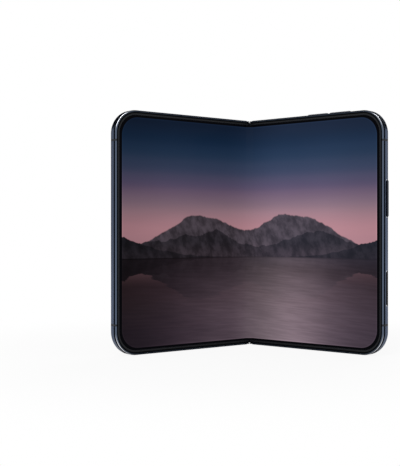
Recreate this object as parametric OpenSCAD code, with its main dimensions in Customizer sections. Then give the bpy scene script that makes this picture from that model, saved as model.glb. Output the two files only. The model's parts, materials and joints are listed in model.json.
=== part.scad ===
// Book-style foldable phone, half open and standing on its lower edges.
// Two leaves turn about two parallel pins in a slim spine. A row of four small gears in each
// hinge module keeps the leaves in step. Every leaf part is drawn as if the leaf lay flat on a
// table, screen up: X runs from the fold line to the free edge, Y from the lower edge to the
// upper edge, and -Z into the thickness. tray() then swings it to the pose of the leaf.

/* [Leaf] */
// Width of one leaf, from the fold line to its free edge
leaf_w = 83.8; // [82:0.1:86]
// Height of the phone
leaf_h = 120.6; // [119:0.1:123]
// Thickness of one leaf
leaf_t = 5.2; // [5.2:0.05:5.4]
// Corner radius at the free edge
corner_r = 12; // [11:0.25:13]
// Thickness of the metal band
band_wall = 1.9; // [1.8:0.05:2]
// Rounding of the band towards the inner screen
front_round = 0.5; // [0.4:0.05:0.55]
// Rounding of the band towards the back
back_round = 1.3; // [1.1:0.05:1.4]

/* [Fold] */
// Angle between the two screens as drawn
open_angle = 103.3; // [96:0.1:120]
// Gap between the leaves when shut
shut_gap = 0.3; // [0.3:0.05:0.4]
// Half width of the screen stretch that bends, in the pose drawn
bend_x = 3.5; // [3.3:0.05:3.6]

/* [Screens] */
// Recess of the inner screen below the trim
screen_recess = 0.2; // [0.15:0.05:0.2]
// Thickness of the flexible screen
screen_t = 0.6; // [0.5:0.05:0.6]
// Width of the trim that frames the inner screen
trim_w = 2.4; // [2.2:0.1:2.6]
// Thickness of the back glass and of the cover glass
glass_t = 0.7; // [0.6:0.05:0.7]

/* [Cameras] */
// Height of the plateau above the back glass
plateau_rise = 1.9; // [1.6:0.1:2.2]
// Half height of the plateau, which is also its end radius
plateau_r = 11.4; // [10.6:0.2:11.6]
// Outer radius of a lens ring
ring_r = 8.3; // [7.8:0.1:8.5]
// Height of a lens ring above the plateau
ring_rise = 2.2; // [1.6:0.1:2.6]
// Distance between the two lens axes
lens_pitch = 18.2; // [17.8:0.1:19]

/* [Buttons] */
// Length of the side button
side_button_l = 18; // [16:0.5:20]
// Length of the camera control
camera_control_l = 16.7; // [15:0.1:18]
// Length of each volume button
volume_button_l = 12; // [10:0.5:12]
// How far the side button stands proud of the free edge
button_rise = 0.45; // [0.3:0.05:0.6]
// How far the volume buttons stand proud of the upper edge
volume_rise = 0.7; // [0.4:0.05:0.8]

/* [Hidden] */
$fn = 96;
eps = 0.01;
far = 20;
fold = (180 - open_angle) / 2;

// Place of each hinge pin: from the fold plane, and below the plane of the trim
axis_x = 2.1;
axis_y = axis_x - shut_gap / 2;

// Depths inside a leaf, measured from the plane of the trim
plate_d = screen_recess + screen_t;
plate_t = 0.5;
bay_d = plate_d + plate_t;
bay_clear = 0.1;
floor_d = bay_d + bay_clear;
glass_d = leaf_t - glass_t;
lip_t = 0.6;
lip_d = leaf_t - lip_t;
bay_end_d = glass_d - 0.05;

// The spine: a channel with round flanks, centred on the two pins
spine_clear = 0.1;
spine_r = lip_d - spine_clear - axis_y;
spine_wall = 0.5;
spine_end = 0.7;
spine_cap = 0.8;
spine_notch = 0.55;
end_wall = spine_end - spine_clear;
fold_reach = 2;

// Places along X inside a leaf
lip_u = 0.12;
bar_u = 1.6;
wall_u = 4.9;
wall_t = 0.9;
seal_x = 0.38;
plate_u = 5.45;
glass_u = 6;
glass_seam = 0.05;
glass_edge_r = 0.3;
hinge_corner_r = 1.6;

// Insets from the outer face of the band
trim_inset = 0.85;
glass_inset = 0.9;
screen_inset = 1.2;
bar_inset = 1.1;
trim_edge_r = 0.18;

// Hinge modules
module_starts = [4, 53, leaf_h - 18.5];
module_l = 14.5;
pin_r = 0.45;
pin_clear = 0.03;
knuckle_r = 0.9;
knuckle_gap = 0.3;
arm_t = 1;
gear_m = 0.15;
arm_teeth = 12;
idler_teeth = 8;
idler_x = gear_m * idler_teeth / 2;
idler_pin_r = 0.2;
ear_a = [0, 1.5];
gears_z = [1.6, 4];
hub_r = 0.7;
knuckle_z = [4.1, 8.6];
ear_b = [8.7, 10.2];
washers_z = [10.3, 13.1];
ear_c = [13.2, 14.5];
ear_foot = 1.2;
washers = 4;
arm_pad_u = 12.6;
screw_u = 9.2;
screw_z = [2.5, 12];
screw_r = 0.5;
screw_head_r = 0.95;
screw_head_t = 0.4;
screw_key_r = 0.4;
screw_key_d = 0.25;

// Support wings under the bend, which tip out of its way
wing_t = 0.2;
wing_pivot = [5.15, plate_d + 0.25];
wing_tip_u = 1.75;
wing_shut_tilt = 20;
wing_tilt = wing_shut_tilt * fold / 90;
wing_bays = [[19.3, 52.2], [68.3, leaf_h - 19.3]];
wing_roll_r = 0.22;

// Band details
groove_d = 0.6;
groove_w = 0.6;
groove_depth = 0.3;
break_y = [15.3, leaf_h - 15.3];
break_w = 1;
button_d = 3.4;
button_w = 1.7;
button_clear = 0.08;
button_pocket = 1.25;
button_travel = 0.35;
button_step = 0.15;
plunger_r = 0.45;
switch_gap = 0.42;
switch_t = 1;
switch_end = 1.5;
side_button_y = 76.9;
camera_control_y = 33.1;
volume_u = [43.3, 56.8];

// Openings in the band
vent_pitch = 2.4;
vents_u = [for (i = [0:5]) 53 + vent_pitch * i];
mic_u = [for (i = [0:2]) 26 + vent_pitch * i];
vent_r = 0.6;
port_u = leaf_w / 2;
port_w = 8.94;
port_h = 3.1;
port_fit = 0.02;
port_wall = 0.25;
port_start = 0.35;
port_l = 7.2;
port_d = bay_d + port_h / 2 + port_fit;
tongue = [6.7, 5.8, 0.7];
port_screw_u = 7.2;
port_screw_r = 0.77;
port_screw_l = 3.4;
port_screw_key_r = 0.35;

// Camera places
lens_y = 106;
lens_u = [leaf_w - 15.2, leaf_w - 15.2 - lens_pitch];
plateau_u = [6.9 + plateau_r, leaf_w - 4 - plateau_r];
plateau_foot = 0.7;
plateau_round = 1.2;
plateau_seat = 2;
ring_wall = 1.3;
ring_edge_r = 0.4;
window_seat = [0.45, 0.85];
window_t = 0.78;
module_r = 6.2;
flash_u = leaf_w - 50.4;
flash_y = 101.4;
flash_r = 2.2;
flash_t = 1.6;
mic_hole_y = 110.8;
mic_hole_r = 0.5;
mic_t = 1.2;
tube_clear = 0.03;
selfie_y = leaf_h - 8.5;
selfie_r = 2;
selfie_l = 2.2;
selfie_window_r = 2.3;
selfie_base = [6.4, 6.4, 0.9];

// What lies inside the leaves: X, Y and thickness, and the lower corner nearest the fold
main_battery_size = [47.5, 66, 2.5];
main_battery_at = [30.5, 24];
cover_battery_size = [62, 76, 2];
cover_battery_at = [14, 22];
board_t = 0.8;
long_board = [14, 94];
long_board_at = [14, 24];
top_board = [12.5, 20];
top_board_at = [28, 98];
shield_size = [12, 21, 1.4];
shields_at = [for (y = [27, 51, 75]) [15, y]];
main_speaker_size = [22, 14, 2.9];
main_speaker_at = [51, 4.5];
haptic_size = [18, 9, 2.6];
haptic_at = [14, 8.5];
coil_at = [55, 57];
coil_r = [11, 21];
coil_t = 0.4;
magnet_size = [1.2, 12, 2.1];
magnets_at = [for (y = [44, 88]) [leaf_w - 5, y]];
cover_board_size = [20, 14, 1.8];
cover_board_at = [14, 102];
cover_speaker_size = [20, 12, 2];
cover_speaker_at = [51, leaf_h - 16.5];
cover_screen_t = 0.9;

metal = [0.20, 0.25, 0.33];
dark_metal = [0.12, 0.15, 0.21];
steel = [0.62, 0.63, 0.66];
black = [0.04, 0.04, 0.05];
glass_blue = [0.17, 0.21, 0.27];
board_green = [0.08, 0.22, 0.17];
gold = [0.80, 0.62, 0.30];
battery_grey = [0.22, 0.22, 0.24];

// The pose drawn puts the middle of the footprint at the origin
near_y = axis_y - (leaf_w - axis_x) * sin(fold) - axis_y * cos(fold);
far_y = axis_y + (axis_x - lip_u) * sin(fold) + (leaf_t - axis_y) * cos(fold);
hinge_y = -(near_y + far_y) / 2;

// ---- placing -------------------------------------------------------------------------------

// Leaf coordinates with X outwards, Y into the thickness and Z up. side is 1 for the main leaf
// and -1 for the cover leaf.
module section(side)
    translate([0, hinge_y, 0])
        mirror([side < 0 ? 1 : 0, 0, 0])
            translate([axis_x, axis_y, 0])
                rotate([0, 0, -fold])
                    translate([-axis_x, -axis_y, 0])
                        children();

// Leaf coordinates as if the leaf lay on a table, screen up.
module tray(side)
    section(side)
        rotate([90, 0, 0])
            children();

// Spine coordinates: X across, Y into the thickness, Z up, origin on the fold line.
module spine()
    translate([0, hinge_y, 0])
        children();

// Both halves of something drawn for +X.
module both_flanks() {
    children();
    mirror([1, 0, 0]) children();
}

// Both ends of something drawn at the upper edge of a leaf.
module both_ends() {
    children();
    translate([0, leaf_h, 0]) mirror([0, 1, 0]) children();
}

// A quarter disc in the +X +Y quadrant.
module quarter(r)
    intersection() {
        circle(r);
        square(r);
    }

module slab(size, at, depth) translate([at[0], at[1], -depth - size[2]]) cube(size);

// ---- shared shapes -------------------------------------------------------------------------

// Outline of a leaf drawn in by inset, from u0 to the free edge.
module leaf_outline(inset, u0) {
    r = corner_r - inset;
    translate([u0, inset]) square([leaf_w - corner_r - u0, leaf_h - 2 * inset]);
    translate([leaf_w - corner_r - eps, corner_r]) square([r + eps, leaf_h - 2 * corner_r]);
    for (y = [corner_r, leaf_h - corner_r])
        translate([leaf_w - corner_r, y]) circle(r);
}

// Sweeps a 2D profile round the three free sides of a leaf. The profile's X is the distance
// from the corner's centre, so corner_r is the outer face. Its Y is minus the depth.
module rim(u0) {
    run = leaf_w - corner_r - u0;
    both_ends() {
        translate([u0, leaf_h - corner_r, 0]) rotate([90, 0, 90]) linear_extrude(run) children();
        translate([leaf_w - corner_r, leaf_h - corner_r, 0]) rotate_extrude(angle = 90) children();
    }
    translate([leaf_w - corner_r, leaf_h - corner_r, 0])
        rotate([90, 0, 0]) linear_extrude(leaf_h - 2 * corner_r) children();
}

// The part of a rim profile between two insets and two depths.
module rim_window(inset_0, inset_1, depth_0, depth_1)
    translate([corner_r - inset_1, -depth_1]) square([inset_1 - inset_0, depth_1 - depth_0]);

module band_profile() {
    translate([corner_r - band_wall, -leaf_t + back_round])
        square([band_wall, leaf_t - back_round - front_round]);
    translate([corner_r - band_wall, -front_round]) square([band_wall - front_round, front_round]);
    translate([corner_r - front_round, -front_round]) quarter(front_round);
    translate([corner_r - band_wall, -leaf_t]) square([band_wall - back_round, leaf_t / 2]);
    translate([corner_r - back_round, -leaf_t + back_round]) mirror([0, 1]) quarter(back_round);
}

// The band with its seats for the trim and the glass, and the fine groove round it.
module seated_band_profile()
    difference() {
        band_profile();
        rim_window(trim_inset, band_wall + eps, -eps, plate_d);
        rim_window(glass_inset, band_wall + eps, glass_d, leaf_t + eps);
        rim_window(-eps, groove_depth, groove_d, groove_d + groove_w);
    }

// Rounds the corner of a leaf where its edge meets the fold.
module hinge_corner_cut(u, h)
    both_ends()
        translate([u - eps, leaf_h + eps, -leaf_t - eps])
            linear_extrude(h)
                difference() {
                    translate([-1, -hinge_corner_r]) square([hinge_corner_r + 1, hinge_corner_r + 1]);
                    translate([hinge_corner_r, -hinge_corner_r]) circle(hinge_corner_r);
                }

// A slot with round ends, long side along X.
module slot2d(l, w) {
    square([l - w, w], center = true);
    for (x = [-1, 1]) translate([x * (l - w) / 2, 0]) circle(w / 2);
}

// Outline round both pins at radius r.
module pin_stadium(r) {
    translate([-axis_x, axis_y - r]) square([2 * axis_x, 2 * r]);
    for (x = [-1, 1]) translate([x * axis_x, axis_y]) circle(r);
}

// ---- gears ---------------------------------------------------------------------------------

function involute(angle) = tan(angle) * 180 / PI - angle;

// Half the angle that a tooth fills at radius rho.
function tooth_half(rho, pitch_r, teeth) =
    let (pressure = 25, thinning = 0.012, base_r = pitch_r * cos(pressure))
    90 / teeth - thinning / pitch_r * 180 / PI + involute(pressure)
        - involute(acos(min(1, base_r / max(rho, base_r))));

function gear_points(teeth) =
    let (
        pitch_r = gear_m * teeth / 2,
        radii = [for (k = [-1.15, -0.35, 0, 0.4, 0.8]) pitch_r + k * gear_m]
    )
    [for (i = [0:teeth - 1]) each concat(
        [for (rho = radii)
            let (a = i * 360 / teeth - tooth_half(rho, pitch_r, teeth)) rho * [cos(a), sin(a)]],
        [for (k = [4:-1:0])
            let (rho = radii[k], a = i * 360 / teeth + tooth_half(rho, pitch_r, teeth))
            rho * [cos(a), sin(a)]]
    )];

module gear2d(teeth, phase) rotate(phase) polygon(gear_points(teeth));

// ---- spine ---------------------------------------------------------------------------------

module spine_cover()
    color(metal) spine() {
        difference() {
            translate([0, 0, spine_end]) linear_extrude(leaf_h - 2 * spine_end)
                difference() {
                    pin_stadium(spine_r);
                    pin_stadium(spine_r - spine_wall);
                    translate([-far / 2, axis_y - far]) square(far);
                }
            for (z = module_starts)
                translate([-far / 2, axis_y - 1, z + knuckle_z[0] - knuckle_gap])
                    cube([far, 1 + spine_notch, knuckle_z[1] - knuckle_z[0] + 2 * knuckle_gap]);
        }
        for (z = [spine_end, leaf_h - spine_end - spine_cap])
            translate([0, 0, z]) linear_extrude(spine_cap) {
                intersection() {
                    pin_stadium(spine_r - spine_wall + eps);
                    translate([-far / 2, axis_y + spine_notch + 0.1]) square(far);
                }
                for (x = [-1, 1]) translate([x * axis_x, axis_y]) circle(knuckle_r);
            }
    }

module ear(z)
    translate([0, 0, z[0]]) linear_extrude(z[1] - z[0])
        difference() {
            union() {
                for (x = [-1, 1]) translate([x * axis_x, axis_y]) circle(knuckle_r);
                translate([-axis_x - knuckle_r, axis_y]) square([2 * (axis_x + knuckle_r), ear_foot]);
                translate([-axis_x, axis_y - 0.5]) square([2 * axis_x, ear_foot + 0.6]);
            }
            for (x = [-1, 1]) {
                translate([x * axis_x, axis_y]) circle(pin_r);
                translate([x * idler_x, axis_y]) circle(idler_pin_r);
            }
        }

module hinge_brackets()
    color(steel) spine()
        for (z = module_starts) translate([0, 0, z]) {
            for (e = [ear_a, ear_b, ear_c]) ear(e);
            translate([-axis_x, axis_y + ear_foot, 0])
                cube([2 * axis_x, spine_r - spine_wall - ear_foot, module_l]);
        }

module hinge_pins(side)
    color(steel) spine()
        for (z = module_starts)
            translate([side * axis_x, axis_y, z]) cylinder(r = pin_r, h = module_l);

module idler_pins()
    color(steel) spine()
        for (z = module_starts, x = [-1, 1])
            translate([x * idler_x, axis_y, z]) cylinder(r = idler_pin_r, h = ear_b[1]);

module friction_washers() {
    pitch = (washers_z[1] - washers_z[0]) / washers;
    color(steel) spine() both_flanks()
        for (z = module_starts, i = [0:washers - 1])
            translate([axis_x, axis_y, z + washers_z[0] + i * pitch]) rotate_extrude()
                polygon([[pin_r + 0.02, 0], [0.8, 0.25], [0.8, 0.55], [pin_r + 0.02, 0.3]]);
}

// Idler wheels turn on pins that stand between the two arm wheels.
module idler_gears(x, phase)
    color(steel) spine()
        for (z = module_starts)
            translate([x, axis_y, z + gears_z[0]]) linear_extrude(gears_z[1] - gears_z[0])
                difference() {
                    gear2d(idler_teeth, phase);
                    circle(idler_pin_r + pin_clear);
                }

// Soft seals that close the gap between the two trims at both ends of the fold.
module fold_end_seals()
    color(black) spine()
        for (z = [trim_inset, leaf_h - trim_w])
            translate([0, 0, z]) linear_extrude(trim_w - trim_inset)
                polygon(bend_face(0, screen_recess + 0.2, seal_x));

// ---- flexible screen -----------------------------------------------------------------------

function ease(t) = t * t * (3 - 2 * t);

// Height of the bent screen's face at x in the pose drawn. It turns with the leaf from the fold
// line outwards, by a share that eases from none to all, and lies flat when the phone is open.
function bend_y(x, depth) =
    let (b = fold * ease(min(1, abs(x) / bend_x)))
    axis_y + (depth - axis_y - (abs(x) - axis_x) * sin(b)) / cos(b);

function bend_line(depth, half, steps) =
    [for (i = [-steps:steps]) let (x = half * i / steps) [x, bend_y(x, depth)]];

// A section of the bent screen between two depths, half wide to each side of the fold line.
function bend_face(top_d, low_d, half) =
    let (steps = 12, top = bend_line(top_d, half, steps), low = bend_line(low_d, half, steps))
    concat(top, [for (i = [len(low) - 1:-1:0]) low[i]]);

module inner_screen_fold()
    color([0.10, 0.14, 0.22]) spine()
        translate([0, 0, trim_w]) linear_extrude(leaf_h - 2 * trim_w)
            polygon(bend_face(screen_recess, plate_d, bend_x));

module inner_screen(side)
    color([0.10, 0.14, 0.22])
        difference() {
            tray(side) translate([0, 0, -plate_d]) linear_extrude(screen_t)
                leaf_outline(screen_inset, 3);
            spine() translate([-bend_x, -far, -1]) cube([2 * bend_x, 2 * far, leaf_h + 2]);
        }

// ---- leaf structure ------------------------------------------------------------------------

module band_breaks()
    for (y = break_y)
        translate([leaf_w - band_wall - 1, y - break_w / 2, -leaf_t - 1])
            cube([band_wall + 2, break_w, leaf_t + 2]);

module antenna_breaks(side)
    color(dark_metal) tray(side)
        intersection() {
            rim(wall_u) seated_band_profile();
            band_breaks();
        }

// Band, floor plate, hinge wall and the lip that covers the spine, in one casting.
module bare_frame()
    difference() {
        union() {
            rim(wall_u) seated_band_profile();
            rim(bar_u)
                intersection() {
                    seated_band_profile();
                    rim_window(-1, bar_inset, -1, plate_d + 0.1);
                }
            rim(lip_u)
                intersection() {
                    seated_band_profile();
                    union() {
                        rim_window(-1, band_wall, lip_d, leaf_t + 1);
                        rim_window(-1, end_wall, -1, leaf_t + 1);
                    }
                }
            translate([lip_u, band_wall - eps, -leaf_t])
                cube([glass_u - lip_u, leaf_h - 2 * band_wall + 2 * eps, leaf_t - lip_d]);
            translate([0, 0, -bay_d]) linear_extrude(plate_t)
                leaf_outline(band_wall - eps, plate_u);
            translate([wall_u, band_wall - eps, -lip_d - eps])
                cube([wall_t, leaf_h - 2 * band_wall + 2 * eps, lip_d - bay_d + 2 * eps]);
        }
        hinge_corner_cut(lip_u, leaf_t - axis_y);
        translate([0, 0, leaf_t - axis_y - eps]) hinge_corner_cut(bar_u, 3);
        fold_sweep_cut();
        band_breaks();
        for (z = module_starts)
            translate([wall_u - 1, z + knuckle_z[0] - knuckle_gap, -axis_y - arm_t / 2 - 0.1])
                cube([wall_t + 2, knuckle_z[1] - knuckle_z[0] + 2 * knuckle_gap, arm_t + 0.2]);
        for (z = module_starts, s = screw_z)
            translate([screw_u, z + s, -bay_d - 1]) cylinder(r = screw_r, h = plate_t + 2);
        for (b = wing_bays)
            translate([wing_pivot[0], b[0], -wing_pivot[1]])
                rotate([-90, 0, 0]) cylinder(r = wing_roll_r + 0.1, h = b[1] - b[0]);
    }

// Takes off what would cross the fold plane as the leaf turns.
module fold_sweep_cut()
    translate([0, -1, 0]) rotate([-90, 0, 0]) linear_extrude(leaf_h + 2)
        difference() {
            translate([-1, -1]) square([axis_x + 1, axis_y + 1]);
            translate([axis_x, axis_y]) circle(fold_reach);
        }

module round_hole_in_edge(u, y, depth, r)
    translate([u, y, -depth]) rotate([-90, 0, 0]) cylinder(r = r, h = band_wall + 2, center = true);

// Pocket for one button, drawn for a button at the origin that is pressed towards -X.
module button_pocket(l) {
    translate([-button_pocket, 0, 0]) rotate([90, 0, 90]) linear_extrude(button_pocket + 1)
        slot2d(l + 2 * button_clear, button_w + 2 * button_clear);
    for (s = [-1, 1])
        translate([-band_wall - 1, s * l / 4, 0])
            rotate([0, 90, 0]) cylinder(r = plunger_r + button_clear, h = band_wall + 1);
}

module button(l, rise) {
    translate([-button_pocket + button_travel, 0, 0]) rotate([90, 0, 90])
        linear_extrude(button_pocket - button_travel + rise - button_step) slot2d(l, button_w);
    translate([rise - button_step - eps, 0, 0]) rotate([90, 0, 90])
        linear_extrude(button_step + eps) slot2d(l - 2 * button_step, button_w - 2 * button_step);
    for (s = [-1, 1])
        translate([-band_wall - 0.15, s * l / 4, 0])
            rotate([0, 90, 0]) cylinder(r = plunger_r, h = band_wall);
}

module at_free_edge(y) translate([leaf_w, y, -button_d]) children();
module at_top_edge(u) translate([u, leaf_h, -button_d]) rotate([0, 0, 90]) children();

module each_button_pocket() {
    at_free_edge(side_button_y) button_pocket(side_button_l);
    at_free_edge(camera_control_y) button_pocket(camera_control_l);
    for (u = volume_u) at_top_edge(u) button_pocket(volume_button_l);
}

module main_frame()
    color(metal) tray(1)
        difference() {
            bare_frame();
            each_button_pocket();
            translate([port_u, -1, -port_d]) rotate([-90, 0, 0])
                linear_extrude(band_wall + 2) slot2d(port_w + 2 * port_wall, port_h);
            for (u = concat(vents_u, mic_u)) round_hole_in_edge(u, 0, port_d, vent_r);
            for (s = [-1, 1])
                round_hole_in_edge(port_u + s * port_screw_u, 0, port_d, port_screw_r + tube_clear);
        }

module cover_frame()
    color(metal) tray(-1)
        difference() {
            bare_frame();
            for (u = vents_u) round_hole_in_edge(u, leaf_h, port_d, vent_r);
        }

// Raised trim that frames the inner screen and hides its edge.
module trim(side)
    color(black) tray(side)
        difference() {
            rim(bar_u) {
                rim_window(trim_inset, trim_w, 0, screen_recess);
                rim_window(trim_inset, screen_inset, screen_recess - eps, plate_d);
            }
            translate([0, 0, leaf_t - 1.6]) hinge_corner_cut(bar_u, 3);
            rim(bar_u - 1) trim_edges();
        }

// What is cut away to round both edges of the trim.
module trim_edges() {
    r = trim_edge_r;
    difference() {
        rim_window(trim_inset - eps, trim_inset + r, -eps, r);
        translate([corner_r - trim_inset - r, -r]) circle(r);
    }
    difference() {
        rim_window(trim_w - r, trim_w + eps, -eps, r);
        translate([corner_r - trim_w + r, -r]) circle(r);
    }
}

module hinge_arms(side, phase)
    color(steel) section(side)
        for (z = module_starts) translate([0, 0, z]) difference() {
            union() {
                translate([axis_x, axis_y, knuckle_z[0]])
                    cylinder(r = knuckle_r, h = knuckle_z[1] - knuckle_z[0]);
                translate([axis_x, axis_y - arm_t / 2, knuckle_z[0]])
                    cube([wall_u + wall_t - axis_x + eps, arm_t, knuckle_z[1] - knuckle_z[0]]);
                translate([wall_u + wall_t, bay_d, 0])
                    cube([arm_pad_u - wall_u - wall_t, axis_y + arm_t / 2 - bay_d, module_l]);
                translate([axis_x, axis_y, gears_z[0]])
                    linear_extrude(gears_z[1] - gears_z[0]) gear2d(arm_teeth, phase);
                translate([axis_x, axis_y, gears_z[0] + 0.5])
                    cylinder(r = hub_r, h = knuckle_z[0] - gears_z[0]);
            }
            translate([axis_x, axis_y, -1]) cylinder(r = pin_r + pin_clear, h = module_l + 2);
            for (s = screw_z)
                translate([screw_u, bay_d - 1, s]) rotate([-90, 0, 0]) cylinder(r = screw_r, h = 5);
        }

module arm_screws(side) {
    head_d = axis_y + arm_t / 2;
    color(steel) section(side)
        for (z = module_starts, s = screw_z) translate([screw_u, 0, z + s]) difference() {
            union() {
                translate([0, plate_d + 0.1, 0]) rotate([-90, 0, 0])
                    cylinder(r = screw_r, h = head_d - plate_d - 0.1 + eps);
                translate([0, head_d, 0]) rotate([-90, 0, 0])
                    cylinder(r = screw_head_r, h = screw_head_t);
            }
            translate([0, head_d + screw_head_t - screw_key_d, 0]) rotate([-90, 0, 0])
                cylinder(r = screw_key_r, h = 1, $fn = 6);
        }
}

module wings(side)
    color(steel) section(side)
        translate([wing_pivot[0], wing_pivot[1], 0]) rotate([0, 0, -wing_tilt])
            for (b = wing_bays) translate([0, 0, b[0] + 0.2]) linear_extrude(b[1] - b[0] - 0.4) {
                circle(wing_roll_r);
                translate([wing_tip_u - wing_pivot[0], -wing_roll_r])
                    square([wing_pivot[0] - wing_tip_u, wing_t]);
            }

// ---- back of the main leaf -----------------------------------------------------------------

module glass_plate()
    translate([0, 0, -leaf_t]) difference() {
        linear_extrude(glass_t) leaf_outline(glass_inset + glass_seam, glass_u + glass_seam);
        translate([0, 0, leaf_t]) rim(glass_u - 1) glass_edge();
    }

// What is cut away to round the outer edge of the glass.
module glass_edge() {
    r = glass_edge_r;
    inner = glass_inset + glass_seam + r;
    difference() {
        rim_window(glass_inset - 1, inner, leaf_t - r, leaf_t + 1);
        translate([corner_r - inner, -leaf_t + r]) circle(r);
    }
}

module plateau_footprint(r) {
    for (u = plateau_u) translate([u, lens_y]) circle(r);
    translate([plateau_u[0], lens_y - r]) square([plateau_u[1] - plateau_u[0], 2 * r]);
}

module lens_holes(r)
    for (u = lens_u) translate([u, lens_y]) circle(r);

module back_glass()
    color(glass_blue) tray(1)
        difference() {
            glass_plate();
            translate([0, 0, -leaf_t - 1]) linear_extrude(3)
                plateau_footprint(plateau_r - plateau_seat);
        }

// Half section of the plateau: a flared foot, an upright flank and a round shoulder.
module plateau_profile() {
    r = plateau_r;
    square([r - plateau_round, plateau_rise]);
    square([r, plateau_rise - plateau_round]);
    translate([r - plateau_round, plateau_rise - plateau_round]) quarter(plateau_round);
    difference() {
        square([r + plateau_foot, plateau_foot]);
        translate([r + plateau_foot, plateau_foot]) circle(plateau_foot);
    }
    translate([0, -glass_t]) square([r - plateau_seat - tube_clear, glass_t + eps]);
}

module plateau_solid() {
    translate([plateau_u[0], lens_y, -leaf_t]) mirror([0, 0, 1])
        rotate([0, 0, 90]) rotate_extrude(angle = 180) upper_profile();
    translate([plateau_u[1], lens_y, -leaf_t]) mirror([0, 0, 1])
        rotate([0, 0, -90]) rotate_extrude(angle = 180) upper_profile();
    translate([plateau_u[0], lens_y, -leaf_t]) mirror([0, 0, 1])
        rotate([90, 0, 90]) linear_extrude(plateau_u[1] - plateau_u[0]) both_sides() upper_profile();
}

module upper_profile()
    intersection() {
        plateau_profile();
        translate([0, -glass_t]) square([plateau_r + 2, plateau_rise + glass_t]);
    }

module both_sides() {
    children();
    mirror([1, 0]) children();
}

module camera_plateau()
    color(dark_metal) tray(1)
        difference() {
            plateau_solid();
            translate([0, 0, -leaf_t - 4]) linear_extrude(8) {
                lens_holes(ring_r - ring_wall);
                translate([flash_u, flash_y]) circle(flash_r);
                translate([flash_u, mic_hole_y]) circle(mic_hole_r);
            }
        }

module lens_ring(i)
    color(dark_metal) tray(1) translate([lens_u[i], lens_y, -leaf_t - plateau_rise])
        mirror([0, 0, 1]) rotate_extrude() difference() {
            union() {
                translate([ring_r - ring_wall, 0]) square([ring_wall, ring_rise - ring_edge_r]);
                translate([ring_r - ring_wall, 0]) square([ring_wall - ring_edge_r, ring_rise]);
                translate([ring_r - ring_edge_r, ring_rise - ring_edge_r]) quarter(ring_edge_r);
            }
            translate([ring_r - ring_wall - 1, ring_rise - window_seat[1]])
                square([1 + window_seat[0], 2]);
        }

module lens_glass(i)
    color([0.05, 0.06, 0.08, 0.5]) tray(1)
        translate([lens_u[i], lens_y, -leaf_t - plateau_rise - ring_rise + 0.05])
            cylinder(r = ring_r - ring_wall + window_seat[0] - tube_clear, h = window_t);

// Barrel with stepped baffles down to a domed front element.
module camera(i, aperture) {
    top = leaf_t + plateau_rise + ring_rise - 0.9;
    color(black) tray(1) translate([lens_u[i], lens_y, 0]) {
        mirror([0, 0, 1]) rotate_extrude() polygon([
            [0, bay_d + 0.3], [module_r, bay_d + 0.3], [module_r, top], [module_r - 0.5, top],
            [module_r - 0.9, top - 0.7], [module_r - 1.5, top - 0.7], [module_r - 2.1, top - 1.5],
            [aperture + 0.5, top - 1.5], [aperture + 0.3, top - 2], [0, top - 2]
        ]);
        translate([0, 0, -top + 2 + aperture * 0.9]) intersection() {
            sphere(aperture * 1.35);
            translate([0, 0, -aperture * 1.9]) cylinder(r = aperture, h = aperture);
        }
    }
}

module flash_window()
    color([0.85, 0.82, 0.72]) tray(1) translate([flash_u, flash_y, -leaf_t - plateau_rise + 0.03])
        cylinder(r = flash_r - tube_clear, h = flash_t);

module rear_microphone()
    color(black) tray(1) translate([flash_u, mic_hole_y, -leaf_t - plateau_rise + 0.3])
        cylinder(r = mic_hole_r - tube_clear, h = mic_t);

// ---- inside the main leaf ------------------------------------------------------------------

module main_battery()
    color(battery_grey) tray(1) slab(main_battery_size, main_battery_at, floor_d);

module logic_board()
    color(board_green) tray(1) {
        slab(concat(long_board, board_t), long_board_at, floor_d);
        slab(concat(top_board, board_t), top_board_at - [eps, 0], floor_d);
    }

module board_shields()
    color(steel) tray(1)
        for (at = shields_at) slab(shield_size, at, floor_d + board_t);

module charging_port()
    color(steel) tray(1) translate([port_u, port_start, -port_d]) {
        rotate([-90, 0, 0]) linear_extrude(port_l) difference() {
            slot2d(port_w + 2 * (port_wall - port_fit), port_h - 2 * port_fit);
            slot2d(port_w - 0.3, port_h - 2 * (port_wall + port_fit));
        }
        translate([-port_w / 2, port_l - 0.6, -port_h / 2 + 0.15])
            cube([port_w, 0.6, port_h - 0.3]);
        translate([-tongue[0] / 2, 1, -tongue[2] / 2]) cube(tongue);
    }

module port_screws()
    color(steel) tray(1)
        for (s = [-1, 1])
            translate([port_u + s * port_screw_u, 0.25, -port_d]) rotate([-90, 0, 0])
                difference() {
                    cylinder(r = port_screw_r, h = port_screw_l);
                    translate([0, 0, -eps]) cylinder(r = port_screw_key_r, h = 0.4, $fn = 5);
                }

module main_speaker()
    color(black) tray(1) slab(main_speaker_size, main_speaker_at, floor_d);

module haptic_motor()
    color(steel) tray(1) slab(haptic_size, haptic_at, floor_d);

module charging_coil()
    color(gold) tray(1) translate([coil_at[0], coil_at[1], -bay_end_d]) difference() {
        cylinder(r = coil_r[1], h = coil_t);
        translate([0, 0, -1]) cylinder(r = coil_r[0], h = coil_t + 2);
    }

// One dome switch under each plunger pair.
module switch_block(l)
    translate([-band_wall - switch_gap - switch_t, -l / 2 + switch_end, -button_w / 2])
        cube([switch_t, l - 2 * switch_end, button_w]);

module button_switches()
    color(gold) tray(1) {
        at_free_edge(side_button_y) switch_block(side_button_l);
        at_free_edge(camera_control_y) switch_block(camera_control_l);
        for (u = volume_u) at_top_edge(u) switch_block(volume_button_l);
    }

module magnets(side)
    color(steel) tray(side)
        for (at = magnets_at) slab(magnet_size, at, floor_d);

// ---- back of the cover leaf ----------------------------------------------------------------

module cover_glass()
    color(black) tray(-1) glass_plate();

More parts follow.
